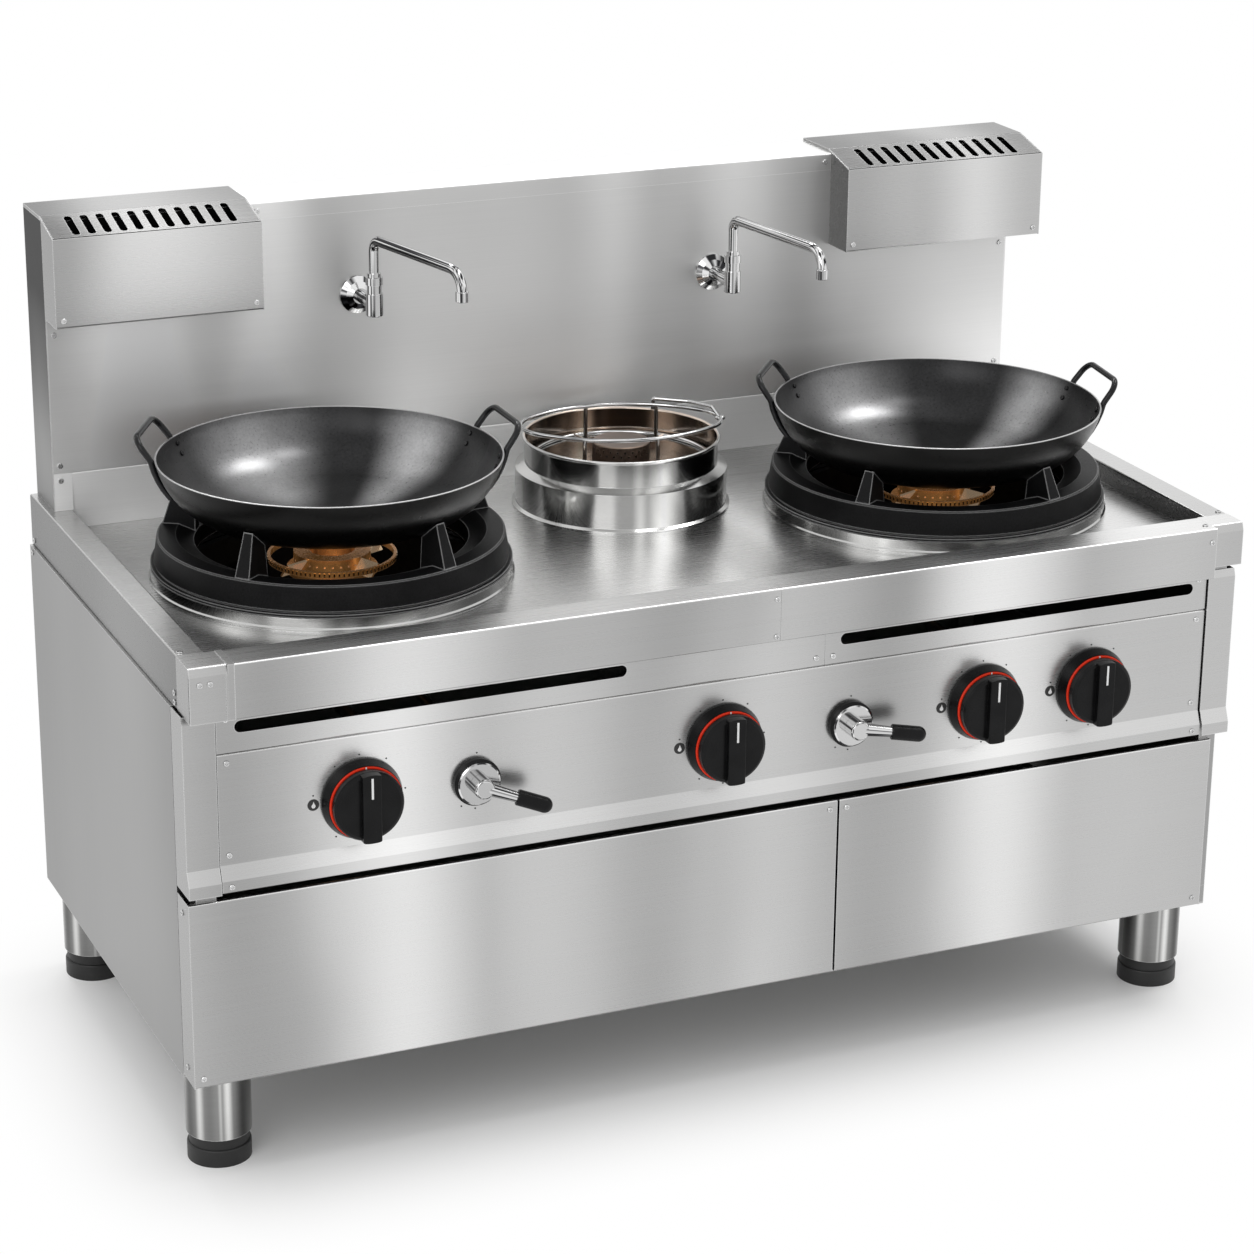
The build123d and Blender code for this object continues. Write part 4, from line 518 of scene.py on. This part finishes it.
def wok_steel(name, node, highlight_ray_bands):
    """Dark rolled steel with painted highlight rays, a painted highlight along its rim and brown heat
    colour under its middle.
    """
    low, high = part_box(node)
    middle = (low + high) / 2
    material, graph, shader = new_material(name)
    speckle = graph.even_noise(240, 5.0, 0.65)
    cloud = graph.even_noise(11.0, 3.0, 0.55)
    scratch = graph.noise((30.0, 420.0, 30.0))
    tone = graph.joined("ADD", graph.product(speckle, cloud),
                        graph.ranged(scratch, 0.6, 0.75, 0.0, 0.06))
    place = graph.place()
    out = graph.vector_sum("SUBTRACT", place, (middle.x, middle.y, low.z)).outputs[0]
    reach = graph.length(out)
    upness = graph.parts_of(graph.normal())[2]
    under = graph.ranged(upness, -0.5, -0.2, 1.0, 0.0)
    heat = graph.product(under, graph.ranged(reach, *HEAT_REACH, 0.8, 0.0))
    # painted highlight along the rim
    rim_highlight = graph.ranged(graph.parts_of(place)[2], high.z - RIM_HIGHLIGHT_DEPTH[0], high.z - RIM_HIGHLIGHT_DEPTH[1],
                       0.0, RIM_HIGHLIGHT_STRENGTH)
    base = graph.blended(graph.ranged(tone, 0.15, 0.42, 0.0, 1.0), *WOK_TONES)
    # painted highlight rays
    base = graph.blended(highlight_rays(graph, highlight_ray_bands, out, reach, upness, cloud, speckle), base, HIGHLIGHT_RAY_COLOUR)
    base = graph.blended(graph.ranged(upness, -0.1, 0.1, 0.0, 1.0), WOK_OUTSIDE, base)
    base = graph.blended(heat, base, WOK_HEAT)
    base = graph.blended(rim_highlight, base, WOK_RIM_HIGHLIGHT)
    graph.links.new(base, shader.inputs["Base Color"])
    shader.inputs["Metallic"].default_value = 0.75
    graph.links.new(graph.spread(speckle, 0.26, 0.36), shader.inputs["Roughness"])
    graph.bumped(shader, speckle, strength=0.16, distance=0.0005)
    return material


def reflection_streaked_chrome(name, dark, pale, roughness, scale):
    """Bright metal with painted reflections: dark and light streaks that follow the way its surface
    turns, pale flat fronts and bright edges.
    """
    material, graph, shader = new_material(name)
    normal = graph.normal()
    # painted reflection streaks, from noise moved by the normal
    moved = graph.vector_sum("MULTIPLY_ADD", graph.place(), (0.8, 0.8, 0.8))
    graph.links.new(normal, moved.inputs[2])
    reflection_streak = graph.noise((scale, scale, scale), 1.0, 0.4, STREAK_SHIFT, moved.outputs[0])
    steps = graph.nodes.new("ShaderNodeValToRGB")
    ramp = steps.color_ramp
    ramp.elements[0].position = CHROME_STEPS[0]
    ramp.elements[0].color = (*dark, 1)
    ramp.elements[1].position = CHROME_STEPS[2]
    ramp.elements[1].color = (*pale, 1)
    middle = ramp.elements.new(CHROME_STEPS[1])
    middle.color = (*(0.5 * (a + b) for a, b in zip(dark, pale)), 1)
    graph.links.new(reflection_streak, steps.inputs["Fac"])
    # flat fronts painted pale as a reflection
    flat_reflection = graph.ranged(graph.parts_of(normal)[1], -0.99, -0.93, 0.85, 0.0)
    base = graph.blended(flat_reflection, steps.outputs["Color"], CHROME_FLAT_REFLECTION)
    # painted edge highlight
    base = graph.blended(graph.edge_mask(0.0012, 0.4, 0.5), base, CHROME_EDGE_HIGHLIGHT)
    graph.links.new(base, shader.inputs["Base Color"])
    shader.inputs["Metallic"].default_value = 1.0
    smudge = graph.even_noise(60.0, 3.0)
    graph.links.new(graph.spread(smudge, roughness - 0.03, roughness + 0.04),
                    shader.inputs["Roughness"])
    return material


def plastic(name, colour, light, roughness, specular=0.5):
    """Moulded plastic or paint with a fine even texture and paler edges that are a painted highlight.
    """
    material, graph, shader = new_material(name)
    fine = graph.even_noise(900.0, 3.0, 0.6)
    base = graph.blended(graph.spread(graph.even_noise(30.0), 0.0, 1.0), colour, light)
    # paler edges: painted highlight
    pale = tuple(min(1.0, 2.5 * part + 0.03) for part in light)
    base = graph.blended(graph.edge_mask(0.0012, 0.5, 0.4), base, pale)
    graph.links.new(base, shader.inputs["Base Color"])
    shader.inputs["Specular IOR Level"].default_value = specular
    graph.links.new(graph.spread(fine, roughness - 0.05, roughness + 0.07), shader.inputs["Roughness"])
    graph.bumped(shader, fine, strength=0.08, distance=0.0003)
    return material


# ================================================================ looks of the nodes
def sheet_looks():
    """Looks of the folded and turned sheet."""
    collar_low, collar_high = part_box("centre_upper_collar")
    middle = (collar_low + collar_high) / 2
    return {
        "front": brushed_steel("steel_front", 0.5, GRAIN_ALONG_X, FRONT_BANDS, top=0.9, side=-0.2),
        "hood": brushed_steel("steel_hood", 0.5, GRAIN_ALONG_X, HOOD_BANDS, top=-0.5, side=-0.3,
                              shade_inside=True),
        "rail": brushed_steel("steel_rail", 0.46, GRAIN_ALONG_X, RAIL_BANDS, top=0.6, side=-0.3),
        "splash": brushed_steel("steel_splash", 0.7, GRAIN_ALONG_X, SPLASH_BANDS, roughness=0.46,
                                top=0.4, side=-0.7, shade_inside=True, rise=SPLASH_RISE),
        "back": brushed_steel("steel_back", 0.3, GRAIN_ALONG_X, BACK_BANDS, roughness=0.46),
        "strip": brushed_steel("steel_strip", 0.9, GRAIN_ALONG_X, SIDE_BANDS, roughness=0.5,
                               metallic=0.45),
        "deck": brushed_steel("steel_deck", 0.78, GRAIN_ALONG_X, DECK_BANDS, roughness=0.27),
        "side": brushed_steel("steel_side", 0.29, GRAIN_ALONG_Z, SIDE_BANDS, along=1, roughness=0.36,
                              top=0.8),
        "rail_side": brushed_steel("steel_rail_side", 0.36, GRAIN_ALONG_X, SIDE_BANDS, along=1,
                                   top=0.55, side=-0.58),
        "frame_steel": brushed_steel("steel_frame", 0.36, GRAIN_ALONG_X, SIDE_BANDS, roughness=0.42),
        # the ducts' dark tone is painted shade, where they show through the hood slots
        "duct_steel": brushed_steel("steel_duct_shade", 0.06, GRAIN_ALONG_Z, SIDE_BANDS, roughness=0.45),
        "ring_steel": round_steel("steel_ring", 0.34, 0.14),
        "collar_steel": round_steel("steel_collar", 0.36, 0.13, (middle.x, middle.y)),
        "leg": round_steel("steel_leg", 0.27, 0.22),
    }


def metal_looks():
    """Looks of the cast, rolled and plated metal."""
    return {
        "chamber_steel": rough_metal("steel_chamber", (0.012, 0.011, 0.01), (0.035, 0.03, 0.026),
                                     scale=180, roughness=0.55, metallic=0.5, bump=0.15, painted_edge=0.1),
        # pale edges on the cast rings: painted highlights
        "cast_iron": rough_metal("cast_iron", (0.0025, 0.0025, 0.0027), (0.009, 0.009, 0.0095),
                                 scale=420, roughness=0.42, metallic=0.0, bump=0.6, painted_edge=1.0,
                                 radius=0.003, painted_edge_colour=(0.42, 0.42, 0.42), specular=0.12,
                                 sharp=0.14),
        "bronze": rough_metal("bronze", (0.16, 0.12, 0.095), (0.28, 0.21, 0.17), scale=150,
                              roughness=0.35, metallic=1.0, bump=0.08, painted_edge=0.5,
                              painted_edge_colour=(0.7, 0.6, 0.5)),
        "black_wire": rough_metal("black_rod", (0.006, 0.006, 0.007), (0.014, 0.014, 0.015), scale=350,
                                  roughness=0.2, metallic=0.0, bump=0.05, painted_edge=0.0, specular=0.25),
        "pipe_steel": rough_metal("pipe_steel", (0.28, 0.28, 0.29), (0.44, 0.44, 0.45), scale=90,
                                  roughness=0.42, metallic=1.0, bump=0.1),
        "valve_brass": rough_metal("valve_brass", (0.5, 0.3, 0.12), (0.7, 0.45, 0.2), scale=90,
                                   roughness=0.35, metallic=1.0, bump=0.1),
        "teeth_brass": rough_metal("teeth_brass", (0.75, 0.5, 0.28), (1.0, 0.85, 0.65), scale=120,
                                   roughness=0.22, metallic=1.0, bump=0.05, painted_edge=0.4,
                                   painted_edge_colour=(1.0, 0.9, 0.75)),
        # dark edges round the screw heads: painted shade
        "screw_steel": rough_metal("screw_steel", (0.6, 0.6, 0.6), (0.8, 0.8, 0.8), scale=500,
                                   roughness=0.2, metallic=1.0, bump=0.1, painted_edge=0.8, radius=0.0008,
                                   painted_edge_colour=(0.06, 0.06, 0.06)),
        "wok_left": wok_steel("carbon_steel_left", "wok_left", HIGHLIGHT_RAYS_LEFT),
        "wok_right": wok_steel("carbon_steel_right", "wok_right", HIGHLIGHT_RAYS_RIGHT),
        "brass": burner_brass("brass"),
        "wire": reflection_streaked_chrome("bright_wire", (0.1, 0.1, 0.1), (0.8, 0.8, 0.8), 0.16, 4.0),
        "chrome": reflection_streaked_chrome("chrome", (0.025, 0.025, 0.027), (0.78, 0.78, 0.78), 0.1, 3.4),
    }


def plastic_looks():
    """Looks of the plastic, rubber and paint."""
    return {
        "black_plastic": plastic("black_plastic", (0.003, 0.003, 0.0033), (0.007, 0.007, 0.0074),
                                 roughness=0.26, specular=0.16),
        "red_plastic": plastic("red_plastic", (0.7, 0.025, 0.006), (0.85, 0.04, 0.01), roughness=0.35,
                               specular=0.2),
        "foot_rubber": plastic("foot_rubber", (0.006, 0.006, 0.006), (0.014, 0.014, 0.014),
                               roughness=0.45),
        "white_paint": plastic("white_paint", (0.78, 0.78, 0.78), (0.88, 0.88, 0.88), roughness=0.4),
        "black_paint": plastic("black_paint", (0.008, 0.008, 0.008), (0.02, 0.02, 0.02),
                               roughness=0.35),
    }


NODE_LOOKS = {
    "front": ("vent_aprons", "control_panel", "corner_posts", "lower_panel_left",
              "lower_panel_right"),
    "hood": ("flue_hoods", "hood_grilles"),
    "rail": ("front_rails", "corner_caps"),
    "splash": ("splash_panel", "splash_cover"),
    "back": ("back_panel",),
    "strip": ("splash_strip",),
    "deck": ("worktop",),
    "side": ("side_panel_left", "side_panel_right"),
    "rail_side": ("rim_rail_left", "rim_rail_right"),
    "ring_steel": ("seat_rings",),
    "collar_steel": ("centre_base_collar", "centre_upper_collar"),
    "frame_steel": ("base_frame", "bottom_pan"),
    "duct_steel": ("flue_ducts",),
    "chamber_steel": ("fire_chambers",),
    "cast_iron": ("cast_ring_left", "cast_ring_right"),
    "wok_left": ("wok_left",),
    "wok_right": ("wok_right",),
    "brass": ("burners",),
    "valve_brass": ("gas_valves",),
    "bronze": ("centre_burner",),
    "wire": ("wire_support",),
    "black_wire": ("wok_handles_left", "wok_handles_right", "wok_rivets_left", "wok_rivets_right"),
    "black_plastic": ("control_bezels", "knob_1", "knob_2", "knob_3", "knob_4", "lever_grip_left",
                      "lever_grip_right"),
    "red_plastic": ("knob_rings",),
    "chrome": ("lever_flanges", "tap_bodies", "lever_left", "lever_right", "spout_left", "spout_right"),
    "pipe_steel": ("gas_manifold", "burner_pipes", "water_pipes"),
    "screw_steel": ("screws",),
    "leg": ("leg_tubes",),
    "foot_rubber": ("foot_front_left", "foot_front_right", "foot_back_left", "foot_back_right"),
}


def dress_nodes(looks):
    """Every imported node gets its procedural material."""
    for look, names in NODE_LOOKS.items():
        for name in names:
            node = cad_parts[name]
            for slot in node.material_slots:
                slot.link = "OBJECT"
                slot.material = looks[look]


# ================================================================ small marks, in metres and degrees
PANEL_SETBACK = 0.0355       # control panel behind the rail face
MARK_PROUD = 0.0004
DOT_RADIUS = 0.0013
DOT_SIDES = 10
DISC_SIDES = 24
DOT_RING = 0.0665            # dots round each knob
DOT_ANGLES = (92.0, 126.0, 55.0, 4.0, -48.0, -90.0, -126.0)
LEVER_DOT_RING = 0.043
LEVER_DOT_ANGLES = (88.0, -92.0, -122.0)
FLANGE_R = 0.0325            # lever flange
ICON_SIDE = 0.072            # flame sign to the left of each knob's axis
ICON_RADIUS = 0.0088
ICON_DOT_RISE = 1.6          # dot above the sign, in its radii
FLAME_SIZE = 0.62            # flame, in the sign's radii
POINTER_WIDTH = 0.0032
POINTER_FROM = 0.016         # pointer's ends above the knob's axis
POINTER_TO = 0.0475
TICK_WIDTH = 2 * POINTER_WIDTH / 3
TICK_INNER = 0.0505          # white tick across each red ring
TICK_OUTER = 0.0549
TICK_OUT = 0.0228            # the red ring's face stands this far out from the panel
TOOTH_COUNT = 84             # teeth round each burner's ring
TOOTH_WIDTH = 0.0030
TOOTH_TIP = 0.7              # width of a tooth's outer face, in its width
TOOTH_HEIGHT = 0.0052
TOOTH_PROUD = 0.0009
TEETH_R = 0.097              # outer radius of the burner's ring
TEETH_BELOW = 0.0095         # middle of the teeth below the burner's top


def add_piece(name, mesh_maker, material, body):
    """New mesh object that rides on a body."""
    shape = bmesh.new()
    mesh_maker(shape)
    mesh = bpy.data.meshes.new(name)
    shape.to_mesh(mesh)
    shape.free()
    piece = bpy.data.objects.new(name, mesh)
    bpy.context.scene.collection.objects.link(piece)
    piece.data.materials.append(material)
    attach(piece, body)


def add_prism(shape, outline, y_front, y_back):
    """Plate between two depths from an outline in X and Z."""
    front_ring = [shape.verts.new((x, y_front, z)) for x, z in outline]
    back_ring = [shape.verts.new((x, y_back, z)) for x, z in outline]
    shape.faces.new(front_ring)
    shape.faces.new(back_ring[::-1])
    count = len(outline)
    for i in range(count):
        after = (i + 1) % count
        shape.faces.new((front_ring[i], back_ring[i], back_ring[after], front_ring[after]))


def around(x, z, radius, degrees):
    """Point at a radius and an angle from another, as X and Z."""
    angle = math.radians(degrees)
    return x + radius * math.cos(angle), z + radius * math.sin(angle)


def disc_outline(x, z, radius, count):
    return [around(x, z, radius, 360 * i / count) for i in range(count)]


def strip_outline(x, width, low, high):
    """Upright strip round a middle line."""
    half = width / 2
    return [(x - half, low), (x + half, low), (x + half, high), (x - half, high)]


def flame_outline(x, z, size):
    """Small flame: round below, with a bent tip."""
    low = [around(0.0, -0.35 * size, 0.55 * size, turn) for turn in range(-200, 21, 20)]
    tip = [(0.28 * size, 0.35 * size), (0.05 * size, 0.95 * size), (-0.12 * size, 0.4 * size)]
    return [(x + across, z + up) for across, up in low + tip]


def control_middles():
    """Axes of the knobs, as X, Z and the depth of their face, and of the levers, as X and Z."""
    knobs = []
    for number in range(1, 5):
        low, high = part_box(f"knob_{number}")
        knobs.append(((low.x + high.x) / 2, (low.z + high.z) / 2, low.y))
    low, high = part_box("lever_flanges")
    middle_z = (low.z + high.z) / 2
    return knobs, [(low.x + FLANGE_R, middle_z), (high.x - FLANGE_R, middle_z)]


def panel_marks(looks):
    """Dots, flame signs and ticks on the panel, and pointers on the knobs."""
    panel_y = front_y + PANEL_SETBACK
    proud = panel_y - MARK_PROUD
    knobs, levers = control_middles()

    def dots(shape):
        middles = []
        for x, z, _ in knobs:
            middles += [around(x, z, DOT_RING, turn) for turn in DOT_ANGLES]
            middles.append((x - ICON_SIDE, z + ICON_DOT_RISE * ICON_RADIUS))
        for x, z in levers:
            middles += [around(x, z, LEVER_DOT_RING, turn) for turn in LEVER_DOT_ANGLES]
        for x, z in middles:
            add_prism(shape, disc_outline(x, z, DOT_RADIUS, DOT_SIDES), proud, panel_y)

    def icons(shape):
        for x, z, _ in knobs:
            add_prism(shape, disc_outline(x - ICON_SIDE, z, ICON_RADIUS, DISC_SIDES), proud, panel_y)

    def flames(shape):
        for x, z, _ in knobs:
            outline = flame_outline(x - ICON_SIDE, z, FLAME_SIZE * ICON_RADIUS)
            add_prism(shape, outline, proud - MARK_PROUD, proud)

    def ticks(shape):
        face = panel_y - TICK_OUT
        for x, z, _ in knobs:
            outline = strip_outline(x, TICK_WIDTH, z + TICK_INNER, z + TICK_OUTER)
            add_prism(shape, outline, face - MARK_PROUD, face)

    add_piece("skirt_ticks", ticks, looks["white_paint"], "root")
    add_piece("panel_dots", dots, looks["black_paint"], "root")
    add_piece("sign_discs", icons, looks["black_paint"], "root")
    add_piece("sign_flames", flames, looks["white_paint"], "root")
    for number, (x, z, face_y) in enumerate(knobs, 1):
        outline = strip_outline(x, POINTER_WIDTH, z + POINTER_FROM, z + POINTER_TO)

        def pointer(shape, outline=outline, face_y=face_y):
            add_prism(shape, outline, face_y - MARK_PROUD, face_y + MARK_PROUD)

        add_piece(f"knob_{number}_pointer", pointer, looks["white_paint"], f"knob_{number}")


def add_tooth(shape, x, y, top, turn):
    """Upright tooth with a narrower outer face."""
    out = Vector((math.cos(turn), math.sin(turn), 0))
    across = Vector((-out.y, out.x, 0)) * TOOTH_WIDTH / 2
    foot = Vector((x, y, top)) + out * (TEETH_R - TOOTH_PROUD / 2)
    tip = foot + out * 1.5 * TOOTH_PROUD
    drop = Vector((0, 0, TOOTH_HEIGHT))
    corners = (foot - across, foot + across, tip + TOOTH_TIP * across, tip - TOOTH_TIP * across)
    ring = [shape.verts.new(place) for place in corners]
    base = [shape.verts.new(place - drop) for place in corners]
    shape.faces.new(ring[::-1])
    shape.faces.new(base)
    for k in range(4):
        shape.faces.new((ring[k], ring[(k + 1) % 4], base[(k + 1) % 4], base[k]))


def burner_teeth(looks):
    """Fine upright teeth round the ring of each burner."""
    low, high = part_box("burners")
    middles = ((low.x + TEETH_R, high.y - TEETH_R), (high.x - TEETH_R, low.y + TEETH_R))
    top = high.z - TEETH_BELOW + TOOTH_HEIGHT / 2

    def teeth(shape):
        for x, y in middles:
            for i in range(TOOTH_COUNT):
                add_tooth(shape, x, y, top, 2 * math.pi * i / TOOTH_COUNT)
        bmesh.ops.recalc_face_normals(shape, faces=shape.faces)

    add_piece("burner_teeth", teeth, looks["teeth_brass"], "root")


# ================================================================ main
bpy.context.scene.view_settings.view_transform = "Standard"
make_camera()
make_world()
make_floor()
looks = {**sheet_looks(), **metal_looks(), **plastic_looks()}
dress_nodes(looks)
panel_marks(looks)
burner_teeth(looks)
make_lamps()
